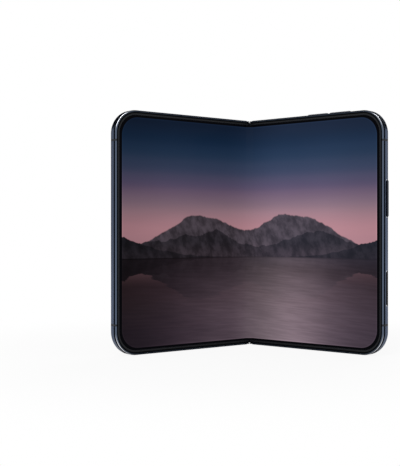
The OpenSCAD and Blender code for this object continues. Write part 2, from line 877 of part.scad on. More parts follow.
module cover_screen()
    color([0.03, 0.03, 0.04]) tray(-1) difference() {
        translate([0, 0, -glass_d]) linear_extrude(cover_screen_t)
            leaf_outline(band_wall + 0.15, glass_u + 0.3);
        translate([port_u, selfie_y, -leaf_t]) cylinder(r = selfie_window_r, h = leaf_t);
    }

module selfie_camera()
    color(black) tray(-1) {
        translate([port_u, selfie_y, -glass_d]) cylinder(r = selfie_r, h = selfie_l);
        slab(selfie_base, [port_u - selfie_base[0] / 2, selfie_y - selfie_base[1] / 2], floor_d);
    }

module cover_battery()
    color(battery_grey) tray(-1) slab(cover_battery_size, cover_battery_at, floor_d);

module cover_board()
    color(board_green) tray(-1) slab(cover_board_size, cover_board_at, floor_d);

module cover_speaker()
    color(black) tray(-1) slab(cover_speaker_size, cover_speaker_at, floor_d);

// ---- nodes ---------------------------------------------------------------------------------

spine_cover();
hinge_brackets();
hinge_pins(1);  // main_hinge_pins
hinge_pins(-1);  // cover_hinge_pins
idler_pins();
friction_washers();
fold_end_seals();
inner_screen_fold();
idler_gears(idler_x, 180 / idler_teeth);  // main_idler_gears
idler_gears(-idler_x, 0);  // cover_idler_gears
wings(1);  // main_wings
wings(-1);  // cover_wings
main_frame();
antenna_breaks(1);  // main_antenna_breaks
trim(1);  // main_trim
inner_screen(1);  // inner_screen_main
hinge_arms(1, 180 + fold);  // main_hinge_arms
arm_screws(1);  // main_arm_screws
back_glass();
camera_plateau();
lens_ring(0);  // wide_lens_ring
lens_glass(0);  // wide_lens_glass
camera(0, 2.6);  // wide_camera
lens_ring(1);  // ultrawide_lens_ring
lens_glass(1);  // ultrawide_lens_glass
camera(1, 2);  // ultrawide_camera
flash_window();
rear_microphone();
main_battery();
logic_board();
board_shields();
charging_port();
port_screws();
main_speaker();
haptic_motor();
charging_coil();
button_switches();
magnets(1);  // main_magnets
color(dark_metal) tray(1) at_free_edge(side_button_y) button(side_button_l, button_rise);  // side_button
color(dark_metal) tray(1) at_free_edge(camera_control_y) button(camera_control_l, 0);  // camera_control
color(dark_metal) tray(1) at_top_edge(volume_u[1]) button(volume_button_l, volume_rise);  // volume_up_button
color(dark_metal) tray(1) at_top_edge(volume_u[0]) button(volume_button_l, volume_rise);  // volume_down_button
cover_frame();
antenna_breaks(-1);  // cover_antenna_breaks
trim(-1);  // cover_trim
inner_screen(-1);  // inner_screen_cover
hinge_arms(-1, 180 + fold + 180 / arm_teeth);  // cover_hinge_arms
arm_screws(-1);  // cover_arm_screws
cover_glass();
cover_screen();
selfie_camera();
cover_battery();
cover_board();
cover_speaker();
magnets(-1);  // cover_magnets
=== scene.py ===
"""Screens, finishes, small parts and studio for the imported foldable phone.

The phone stands half open on its lower edges. Leaf coordinates are u, from the fold line to the
free edge, h, the height, and d, the depth behind the plane of the trim.
"""

import json
import math

import bmesh
import bpy
from bpy.props import FloatProperty, FloatVectorProperty, PointerProperty
from mathutils import Matrix, Vector


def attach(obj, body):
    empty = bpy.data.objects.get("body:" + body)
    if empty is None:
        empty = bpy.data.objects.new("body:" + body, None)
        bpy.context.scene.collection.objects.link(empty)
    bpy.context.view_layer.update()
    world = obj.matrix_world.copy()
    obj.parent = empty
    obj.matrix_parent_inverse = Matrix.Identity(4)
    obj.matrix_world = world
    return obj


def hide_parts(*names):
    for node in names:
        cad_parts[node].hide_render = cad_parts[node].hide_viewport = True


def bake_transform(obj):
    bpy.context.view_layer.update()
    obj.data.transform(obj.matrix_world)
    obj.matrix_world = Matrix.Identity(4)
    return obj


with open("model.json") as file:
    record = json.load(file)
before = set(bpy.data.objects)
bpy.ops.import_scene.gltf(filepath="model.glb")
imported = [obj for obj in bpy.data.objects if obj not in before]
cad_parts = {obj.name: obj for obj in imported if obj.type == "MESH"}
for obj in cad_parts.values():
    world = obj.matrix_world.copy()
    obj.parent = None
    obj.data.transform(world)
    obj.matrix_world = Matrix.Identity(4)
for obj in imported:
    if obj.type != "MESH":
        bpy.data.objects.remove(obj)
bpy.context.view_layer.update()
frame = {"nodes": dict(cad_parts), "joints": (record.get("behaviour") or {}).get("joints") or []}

bl_info = {
    "name": "Foldable phone",
    "version": (1, 0, 0),
    "blender": (4, 5, 0),
    "location": "3D View > Sidebar > Phone",
    "description": "Dresses the packed foldable phone with its screens, finishes and small parts",
    "category": "Add Mesh",
}

MM = 0.001
MAIN, COVER = 1, -1
LEAF_NAMES = {MAIN: "main", COVER: "cover"}
# Steps of the bend and of each corner's arc in the inner screen
BEND_STEPS = 28
# How bright the painted highlight on the lip is round the lower and the upper corner of each leaf
PAINTED_GLINT_SHARES = {MAIN: (0.66, 0.22), COVER: (0.86, 0.52)}


def tone(red, green, blue):
    """A colour as it looks on a screen, in steps of 255, made scene linear."""
    parts = [c / 255 for c in (red, green, blue)]
    return tuple(c / 12.92 if c <= 0.04045 else ((c + 0.055) / 1.055) ** 2.4 for c in parts)


def joint(name):
    return next(j for j in frame["joints"] if j["name"] == name)


# ---- what a user may change --------------------------------------------------------------------


def length(name, description, default):
    return FloatProperty(name=name, description=description, default=default, unit="LENGTH")


def colour(name, description, default):
    return FloatVectorProperty(
        name=name, description=description, default=default, subtype="COLOR", size=3, min=0, max=1
    )


class PhoneSizes(bpy.types.PropertyGroup):
    """Sizes of a leaf and of what is set into it."""

    leaf_width: length("Leaf width", "From the fold line to the free edge", 83.8 * MM)
    leaf_height: length("Leaf height", "From the lower edge to the upper edge", 120.6 * MM)
    corner_radius: length("Corner radius", "Radius of the band at the free corners", 12 * MM)
    lip_depth: length("Lip depth", "Depth of the cut lip of the band", 0.31 * MM)
    groove_depth: length("Groove depth", "From the trim's plane to the groove's end", 1.56 * MM)
    screen_inset: length("Screen inset", "From the band's face to the screen's edge", 1.2 * MM)
    screen_depth: length("Screen depth", "Depth of the screen below the trim", 0.2 * MM)
    screen_thickness: length("Screen thickness", "Thickness of the flexible screen", 0.6 * MM)
    bend_reach: length("Bend reach", "Half width of the stretch that bends", 3.5 * MM)
    lit_side: length("Picture side inset", "From the free edge to the picture", 3.85 * MM)
    lit_end: length("Picture end inset", "From the upper or lower edge to the picture", 3.5 * MM)
    lit_corner: length("Picture corner", "Corner radius of the picture", 9.2 * MM)
    bend_end: length("Bend end", "From the upper or lower edge to the end of the bend", 2.4 * MM)
    seal_end: length("Seal end", "Where a fold seal meets the trim, across the fold", 0.48 * MM)
    seal_near: length("Seal near side", "From the upper or lower edge to the seal", 0.9 * MM)
    seal_far: length("Seal far side", "From the same edge to the seal's other side", 2.36 * MM)
    seal_dip: length("Seal dip", "How deep the seal lies at the fold", 0.9 * MM)
    seal_seat: length("Seal seat", "How deep the seal lies where it meets the trim", 0.04 * MM)
    seal_thickness: length("Seal thickness", "Thickness of the seal", 0.35 * MM)
    key_depth: length("Key depth", "Depth of the keys on the free edge", 3.4 * MM)
    key_width: length("Key width", "Width of the keys on the free edge", 1.7 * MM)
    key_pocket: length("Key pocket", "Radius of the round ends of a key's pocket", 1.21 * MM)
    control_inlay: length("Inlay", "Radius of the inlay round the camera control", 1.25 * MM)
    side_button: length("Side button", "Height of its middle", 76.9 * MM)
    side_button_length: length("Side button length", "Between its round ends", 18 * MM)
    camera_control: length("Camera control", "Height of its middle", 33.1 * MM)
    camera_control_length: length("Camera control length", "Between its round ends", 16.7 * MM)
    opening_depth: length("Opening depth", "Depth of the socket and the sound holes", 2.87 * MM)
    tongue_height: length("Tongue height", "Middle of the contacts in the socket", 3.35 * MM)
    hole_inset: length("Hole inset", "From the band's face to the acoustic screens", 1.3 * MM)
    speaker_across: length("Speaker holes", "First hole, from the fold line", 53 * MM)
    microphone_across: length("Microphone holes", "First hole, from the fold line", 26 * MM)
    lens_height: length("Lens height", "Height of both rear lenses", 106 * MM)
    wide_lens: length("Wide lens", "Distance of the outer rear lens from the fold line", 68.6 * MM)
    lens_pitch: length("Lens pitch", "Distance between the two rear lenses", 18.2 * MM)
    ring_end: length("Ring end", "Radius of the middle of a lens ring's end", 7.62 * MM)
    ring_top: length("Ring top", "Depth at which a lens ring's chamfer shows fully", 9.0 * MM)
    lens_top: length("Lens top", "Depth of the plane just under the lens windows", 8.45 * MM)
    baffle_depth: length("Baffle depth", "From the lens top to the first baffle", 1.45 * MM)
    flash_across: length("Flash place", "From the fold line to the flash", 33.4 * MM)
    flash_height: length("Flash height", "Height of the flash", 101.4 * MM)
    flash_depth: length("Flash depth", "Depth of the flash's prisms", 7.07 * MM)
    coil_across: length("Coil place", "From the fold line to the coil's axis", 55 * MM)
    coil_height: length("Coil height", "Height of the coil's axis", 57 * MM)


class PhonePicture(bpy.types.PropertyGroup):
    """Colours of the still picture on the inner screen."""

    night: colour("Night sky", "Top of the sky", tone(16, 28, 47))
    blue: colour("Blue sky", "Upper part of the sky", tone(22, 39, 62))
    slate: colour("Slate sky", "Above the middle of the sky", tone(38, 51, 74))
    dusk: colour("Dusk sky", "Middle of the sky", tone(60, 62, 85))
    mauve: colour("Mauve sky", "Lower part of the sky", tone(90, 76, 97))
    rose: colour("Rose sky", "Just above the hills", tone(128, 102, 113))
    glow: colour("Glow", "Along the skyline", tone(158, 116, 124))
    far_hill: colour("Far hills", "The hazy row of hills", tone(62, 55, 62))
    near_hill: colour("Near hills", "The dark headlands", tone(24, 23, 28))
    still_water: colour("Still water", "Water at the left edge", tone(24, 18, 22))
    dim_water: colour("Dim water", "Water at the left", tone(46, 36, 43))
    grey_water: colour("Grey water", "Water left of the fold", tone(66, 54, 62))
    soft_water: colour("Soft water", "Water at the fold", tone(82, 69, 77))
    pale_water: colour("Pale water", "Water right of the fold", tone(109, 95, 102))
    bright_water: colour("Bright water", "Water under the brightest sky", tone(127, 110, 119))
    dull_water: colour("Dull water", "Water at the right", tone(94, 80, 90))
    shaded_water: colour("Shaded water", "Water at the right edge", tone(62, 52, 62))
    surround: colour("Surround", "Unlit edge of the panel", tone(5, 5, 8))
    shore: length("Shoreline", "Height of the shoreline in the picture", 47.5 * MM)


class PhoneFinishes(bpy.types.PropertyGroup):
    """Colours of the phone's own materials."""

    band: colour("Band", "Anodised metal of the band", (0.080, 0.107, 0.170))
    lip: colour("Lip", "Cut edge of the band round the trim", (0.086, 0.110, 0.156))
    # Painted highlight: the lip's rounding at the corners is painted near white
    painted_glint: colour("Glint", "Polished rounding of the lip at the corners", (0.93, 0.95, 1.0))
    # Painted highlight at the round ends of the keys' pockets
    pocket_highlight: colour("Pocket edge", "Cut edge at the ends of a key's pocket", (0.9, 0.92, 0.95))
    # Painted shade: near black over the groove round the band and the lands beside it
    groove_shade: colour("Groove", "The fine groove round the band", (0.0008, 0.0016, 0.0040))
    # The side button's metal is painted darker than the band, partly as its shade
    button: colour("Side button", "Anodised metal of the side button", (0.019, 0.024, 0.035))
    volume: colour("Volume buttons", "Metal of the volume buttons", (0.11, 0.115, 0.135))
    trim: colour("Trim", "Soft black trim round the inner screen", (0.006, 0.007, 0.009))
    back: colour("Back glass", "Frosted glass of the main leaf", (0.016, 0.025, 0.041))
    plateau: colour("Camera plateau", "Satin plateau under the lenses", (0.006, 0.010, 0.017))
    ring: colour("Lens rings", "Turned metal round the lenses", (0.010, 0.013, 0.019))
    steel: colour("Hinge steel", "Brushed steel of the hinge", (0.36, 0.37, 0.40))
    break_line: colour("Antenna breaks", "Plastic in the band", (0.008, 0.011, 0.017))
    cover: colour("Cover glass", "Glossy glass of the cover leaf", (0.002, 0.0024, 0.003))


class PhoneStudio(bpy.types.PropertyGroup):
    """Lamps, room light and camera."""

    key_power: FloatProperty(
        name="Key lamp", description="Soft lamp above and in front", default=7.0, unit="POWER"
    )
    strip_power: FloatProperty(
        name="Strip lamp", description="Narrow lamp for the gloss of the corners", default=5.0,
        unit="POWER",
    )
    rim_power: FloatProperty(
        name="Rim lamp", description="Soft lamp behind, for the rear cameras", default=3.0,
        unit="POWER",
    )
    room: FloatProperty(name="Room light", description="Even light from all round", default=0.55)
    aim_height: length("Aim height", "Height that the lamps point at", 0.06)
    distance: length("Camera distance", "From the middle of the phone's place", 0.4710)
    height: length("Camera height", "Above the floor", 0.0601)
    lens: FloatProperty(
        name="Lens", description="Focal length on a 36 mm sensor", default=70.69, unit="CAMERA"
    )
    shift: FloatProperty(
        name="Shift", description="Sideways shift that frames the phone off centre",
        default=-0.1062,
    )


def sizes():
    return bpy.context.scene.phone_sizes


def finishes():
    return bpy.context.scene.phone_finishes


# ---- places ------------------------------------------------------------------------------------


def fold_angle():
    """How far each leaf stands forward of flat in the pose drawn."""
    return math.radians(-joint("main_fold")["range_deg"][0])


def pin():
    """Distance of a hinge pin from the fold plane, and the Y of both pins."""
    place = joint("main_fold")["pos_m"]
    return place[0], place[1]


def pin_depth():
    """Depth of the pins below the trim: half the gap of the shut leaves less than their offset."""
    return pin()[0] - 0.15 * MM


def leaf_axes(side):
    """The directions of u and d in the row frame."""
    f = fold_angle()
    along = Vector((side * math.cos(f), -math.sin(f), 0))
    inward = Vector((side * math.sin(f), math.cos(f), 0))
    return along, inward


def leaf_point(side, u, h, d):
    """A point given in leaf coordinates, in the row frame."""
    along, inward = leaf_axes(side)
    axis_x, axis_y = pin()
    start = Vector((side * axis_x, axis_y, 0))
    return start + along * (u - axis_x) + inward * (d - pin_depth()) + Vector((0, 0, h))


def leaf_matrix(side, u, h, d):
    """Frame at a leaf point whose X runs along u, Y up and Z out of the back of the leaf."""
    along, inward = leaf_axes(side)
    turned = Matrix((along, Vector((0, 0, 1)), inward)).transposed().to_4x4()
    return Matrix.Translation(leaf_point(side, u, h, d)) @ turned


def ease(t):
    t = min(1.0, max(0.0, t))
    return t * t * (3 - 2 * t)


def bend_point(side, x, h, d, reach):
    """A point of something that bends over the fold, x across it, and its place along the leaf."""
    axis_x, axis_y = pin()
    turn = fold_angle() * ease(x / reach)
    y = axis_y + (d - pin_depth() - (x - axis_x) * math.sin(turn)) / math.cos(turn)
    u = axis_x + (x - axis_x - (d - pin_depth()) * math.sin(turn)) / math.cos(turn)
    return Vector((side * x, y, h)), u


# ---- meshes ------------------------------------------------------------------------------------


def new_piece(name, mesh, material, smooth=True):
    """A piece at the origin from a bmesh or a mesh."""
    if isinstance(mesh, bmesh.types.BMesh):
        data = bpy.data.meshes.new(name)
        mesh.to_mesh(data)
        mesh.free()
        mesh = data
    mesh.name = name
    mesh.materials.clear()
    mesh.materials.append(material)
    mesh.polygons.foreach_set("use_smooth", [smooth] * len(mesh.polygons))
    piece = bpy.data.objects.new(name, mesh)
    bpy.context.scene.collection.objects.link(piece)
    return piece


def close_slab(mesh, top, low):
    """Joins two grids of vertices, given as columns, to a closed slab."""
    columns, rows = len(top), len(top[0])
    for i in range(columns - 1):
        for k in range(rows - 1):
            mesh.faces.new((top[i][k], top[i + 1][k], top[i + 1][k + 1], top[i][k + 1]))
            mesh.faces.new((low[i][k], low[i][k + 1], low[i + 1][k + 1], low[i + 1][k]))
        for k in (0, rows - 1):
            mesh.faces.new((top[i][k], top[i + 1][k], low[i + 1][k], low[i][k]))
    for i in (0, columns - 1):
        for k in range(rows - 1):
            mesh.faces.new((top[i][k], top[i][k + 1], low[i][k + 1], low[i][k]))
    bmesh.ops.recalc_face_normals(mesh, faces=mesh.faces)


def sharpen(piece, angle=35):
    """Smooth faces with crisp edges."""
    mesh = piece.data
    work = bmesh.new()
    work.from_mesh(mesh)
    for edge in work.edges:
        edge.smooth = len(edge.link_faces) == 2 and edge.calc_face_angle(0) < math.radians(angle)
    work.to_mesh(mesh)
    work.free()


# ---- node trees --------------------------------------------------------------------------------


class Value:
    """An output of a node, with the usual arithmetic."""

    def __init__(self, nodes, socket):
        self.nodes, self.socket = nodes, socket

    def math(self, operation, *others):
        return self.nodes.math(operation, self, *others)

    def __add__(self, other):
        return self.math("ADD", other)

    def __sub__(self, other):
        return self.math("SUBTRACT", other)

    def __rsub__(self, other):
        return self.nodes.math("SUBTRACT", other, self)

    def __mul__(self, other):
        return self.math("MULTIPLY", other)

    def __truediv__(self, other):
        return self.math("DIVIDE", other)

    def __abs__(self):
        return self.math("ABSOLUTE")

    def at_least(self, bound):
        return self.math("MAXIMUM", bound)

    def at_most(self, bound):
        return self.math("MINIMUM", bound)


def hypot(a, b):
    return (a * a + b * b).math("SQRT")


class Nodes:
    """Short calls that make and join the nodes of a tree."""

    def __init__(self, tree):
        self.tree = tree

    def feed(self, socket, value):
        """Links an output to a socket, or sets the socket's own value."""
        value = value.socket if isinstance(value, Value) else value
        if isinstance(value, bpy.types.NodeSocket):
            self.tree.links.new(value, socket)
        else:
            socket.default_value = (*value, 1) if socket.type == "RGBA" else value

    def node(self, kind, inputs=(), **settings):
        made = self.tree.nodes.new(kind)
        for name, value in settings.items():
            setattr(made, name, value)
        for key, value in dict(inputs).items():
            self.feed(made.inputs[key], value)
        return made

    def output(self, kind, inputs=(), name=0, **settings):
        """One output of a new node."""
        return Value(self, self.node(kind, inputs, **settings).outputs[name])

    def math(self, operation, *values):
        return self.output("ShaderNodeMath", enumerate(values), operation=operation)

    def combine(self, x=0.0, y=0.0, z=0.0):
        return self.output("ShaderNodeCombineXYZ", {"X": x, "Y": y, "Z": z})


# ---- repeated parts by Geometry Nodes ----------------------------------------------------------


class Repeat(Nodes):
    """A geometry tree with one input for each value."""

    def __init__(self, name, material, values):
        super().__init__(bpy.data.node_groups.new(name, "GeometryNodeTree"))
        self.material = material
        add = self.tree.interface.new_socket
        add("Geometry", in_out="OUTPUT", socket_type="NodeSocketGeometry")
        for label, value in values.items():
            kind = "NodeSocketInt" if isinstance(value, int) else "NodeSocketFloat"
            add(label, in_out="INPUT", socket_type=kind).default_value = value
        given = self.node("NodeGroupInput").outputs
        self.given = {label: Value(self, given[label]) for label in values}

    def hand_out(self, geometry):
        """Ends the tree with the geometry made real and given its material."""
        real = self.output("GeometryNodeRealizeInstances", {0: geometry})
        painted = self.output("GeometryNodeSetMaterial", {0: real, "Material": self.material})
        self.node("NodeGroupOutput", {0: painted})
        return self

    def grow(self, name, values, place):
        """Runs the tree with its values and keeps the result as a plain mesh at its place."""
        seed = bpy.data.objects.new(name + "_seed", bpy.data.meshes.new(name + "_seed"))
        bpy.context.scene.collection.objects.link(seed)
        modifier = seed.modifiers.new("Repeat", "NODES")
        modifier.node_group = self.tree
        for item in self.tree.interface.items_tree:
            if item.in_out == "INPUT" and item.name in values:
                modifier[item.identifier] = values[item.name]
        depsgraph = bpy.context.evaluated_depsgraph_get()
        mesh = bpy.data.meshes.new_from_object(seed.evaluated_get(depsgraph))
        bpy.data.objects.remove(seed)
        if not mesh.polygons:
            raise RuntimeError(f"{name} came out empty")
        mesh.transform(place)
        return new_piece(name, mesh, self.material)


def ring_repeat(material):
    """Rings round one axis, each wider than the last and a step further along it."""
    rings = Repeat("Concentric rings", material, {
        "Count": 4, "First radius": 0.003, "Pitch": 0.0005, "Step": 0.0001, "Wire": 0.0001,
    })
    given, output = rings.given, rings.output
    line = output("GeometryNodeMeshLine",
                  {"Count": given["Count"], "Offset": rings.combine(z=given["Step"])})
    circle = output("GeometryNodeCurvePrimitiveCircle", {"Resolution": 72, "Radius": 1})
    radius = output("GeometryNodeInputIndex") * given["Pitch"] + given["First radius"]
    placed = output("GeometryNodeInstanceOnPoints",
                    {"Points": line, "Instance": circle, "Scale": radius})
    curves = output("GeometryNodeRealizeInstances", {0: placed})
    wire = output("GeometryNodeCurvePrimitiveCircle", {"Resolution": 8, "Radius": given["Wire"]})
    solid = output("GeometryNodeCurveToMesh", {"Curve": curves, "Profile Curve": wire})
    return rings.hand_out(solid)


def strip_repeat(material):
    """Two rows of small contact strips, one row on each face of a tongue."""
    strips = Repeat("Contact strips", material, {
        "Count": 12, "Pitch": 0.0005, "Width": 0.00024, "Length": 0.0024, "Height": 0.00006,
        "Gap": 0.00073,
    })
    given, output = strips.given, strips.output
    size = strips.combine(given["Width"], given["Length"], given["Height"])
    strip = output("GeometryNodeMeshCube", {"Size": size})
    grid = output("GeometryNodeMeshGrid", {
        "Size X": (given["Count"] - 1) * given["Pitch"], "Size Y": given["Gap"],
        "Vertices X": given["Count"], "Vertices Y": 2,
    })
    stand = output("GeometryNodeTransform", {"Geometry": grid, "Rotation": (math.pi / 2, 0, 0)})
    return strips.hand_out(
        output("GeometryNodeInstanceOnPoints", {"Points": stand, "Instance": strip})
    )


def screen_repeat(material):
    """A row of small round acoustic screens."""
    screens = Repeat("Acoustic screens", material, {"Count": 6, "Pitch": 0.0024, "Radius": 0.0006})
    given, output = screens.given, screens.output
    line = output("GeometryNodeMeshLine",
                  {"Count": given["Count"], "Offset": screens.combine(given["Pitch"])})
    disc = output("GeometryNodeMeshCylinder",
                  {"Vertices": 24, "Depth": 0.0001, "Radius": given["Radius"]})
    turned = output("GeometryNodeTransform", {"Geometry": disc, "Rotation": (math.pi / 2, 0, 0)})
    return screens.hand_out(
        output("GeometryNodeInstanceOnPoints", {"Points": line, "Instance": turned})
    )


# ---- shader helpers ----------------------------------------------------------------------------


class Sheet(Nodes):
    """A material's node tree with short calls for the patterns that the finishes use."""

    def __init__(self, name):
        self.material = bpy.data.materials.new(name)
        self.material.use_nodes = True
        super().__init__(self.material.node_tree)
        self.tree.nodes.clear()
        self.shader = self.node("ShaderNodeBsdfPrincipled")
        self.out = self.node("ShaderNodeOutputMaterial", {0: self.shader.outputs[0]})
        self.place = self.output("ShaderNodeTexCoord", name="Object")

    def shade(self, **values):
        """Feeds the shader, named with underscores for spaces, and gives the material."""
        for name, value in values.items():
            self.feed(self.shader.inputs[name.replace("_", " ")], value)
        return self.material

    def dot(self, direction):
        """How far the place lies along a direction."""
        return self.output("ShaderNodeVectorMath", {0: self.place, 1: direction}, "Value",
                           operation="DOT_PRODUCT")

    def stretched(self, *along):
        """The place scaled on each axis, for brushed or streaked patterns."""
        return self.output("ShaderNodeVectorMath", {0: self.place, 1: along},
                           operation="MULTIPLY")

    def leaf_place(self, side):
        """u, h and d of a point on a leaf, in millimetres."""
        origin = leaf_point(side, 0, 0, 0)
        u, d = ((self.dot(axis) - axis.dot(origin)) / MM for axis in leaf_axes(side))
        return u, self.dot((0, 0, 1)) / MM, d

    def smooth(self, value, low, high, start=0.0, end=1.0):
        """An eased step from start to end as value goes from low to high."""
        ends = {"Value": value, "From Min": low, "From Max": high, "To Min": start, "To Max": end}
        return self.output("ShaderNodeMapRange", ends, interpolation_type="SMOOTHSTEP")

    def within(self, value, edge, soft):
        """1 below an edge and 0 past it."""
        return self.smooth(value, edge - soft, edge + soft, 1.0, 0.0)

    def mix(self, share, a, b, blend="MIX"):
        return self.output("ShaderNodeMix", {0: share, 6: a, 7: b}, 2, data_type="RGBA",
                           blend_type=blend)

    def ramp(self, value, stops, interpolation="EASE"):
        """Colours or grey levels along a value."""
        made = self.node("ShaderNodeValToRGB", {"Fac": value})
        band = made.color_ramp
        band.interpolation = interpolation
        while len(band.elements) < len(stops):
            band.elements.new(0.5)
        for element, (position, shade) in zip(band.elements, stops):
            element.position = position
            element.color = (*shade, 1) if hasattr(shade, "__len__") else (shade, shade, shade, 1)
        return Value(self, made.outputs[0])

    def noise(self, vector, scale, detail=3.0, roughness=0.5, dimensions="3D"):
        inputs = {"Scale": scale, "Detail": detail, "Roughness": roughness}
        inputs["W" if dimensions == "1D" else "Vector"] = vector
        return self.output("ShaderNodeTexNoise", inputs, "Fac", noise_dimensions=dimensions)

    def gain(self, shade, factor):
        """A colour times a number."""
        return self.mix(1.0, shade, self.combine(factor, factor, factor), "MULTIPLY")

    def vary(self, base, pattern, amount):
        """A colour made lighter and darker by a pattern that lies round 0.5."""
        return self.gain(base, pattern * (2 * amount) + (1 - amount))

    def uneven(self, roughness):
        """A roughness that drifts a little over the surface."""
        return self.noise(self.place, 45, 2) * 0.10 + (roughness - 0.05)

    def bump(self, height, distance, strength=1.0):
        return self.output("ShaderNodeBump",
                           {"Height": height, "Distance": distance, "Strength": strength})

    def grain_bump(self, grain, depth):
        return self.bump(self.noise(self.place, grain * 4, 4), depth)


def grained(name, base, metallic, roughness, specular=0.5, grain=1500, amount=0.06, depth=2e-6):
    """A satin surface with a fine grain, soft uneven sheen and a trace of handling."""
    sheet = Sheet(name)
    return sheet.shade(
        Base_Color=sheet.vary(base, sheet.noise(sheet.place, grain, 3), amount),
        Metallic=metallic,
        Roughness=sheet.uneven(roughness),
        Specular_IOR_Level=specular,
        Normal=sheet.grain_bump(grain, depth),
    )


def brushed(name, base, along, roughness=0.3, amount=0.12):
    """Metal with fine brush lines along the small components of a stretch."""
    sheet = Sheet(name)
    lines = sheet.noise(sheet.stretched(*along), 900, 4, 0.6)
    return sheet.shade(
        Base_Color=sheet.vary(base, lines, amount),
        Metallic=1.0,
        Roughness=lines * 0.16 + (roughness - 0.08),
        Normal=sheet.bump(lines, 2e-6),
    )


# ---- the picture on the inner screen -----------------------------------------------------------


def outline_depth(x, z, side_inset, end_inset, radius):
    """Distance in millimetres outside a rounded oblong that is centred on the phone's height."""
    wide, high = sizes().leaf_width / MM, sizes().leaf_height / MM
    reach_x = x - (wide - side_inset - radius)
    reach_z = abs(z - high / 2) - (high / 2 - end_inset - radius)
    corner = hypot(reach_x.at_least(0.0), reach_z.at_least(0.0))
    return corner + reach_x.at_least(reach_z).at_most(0.0) - radius


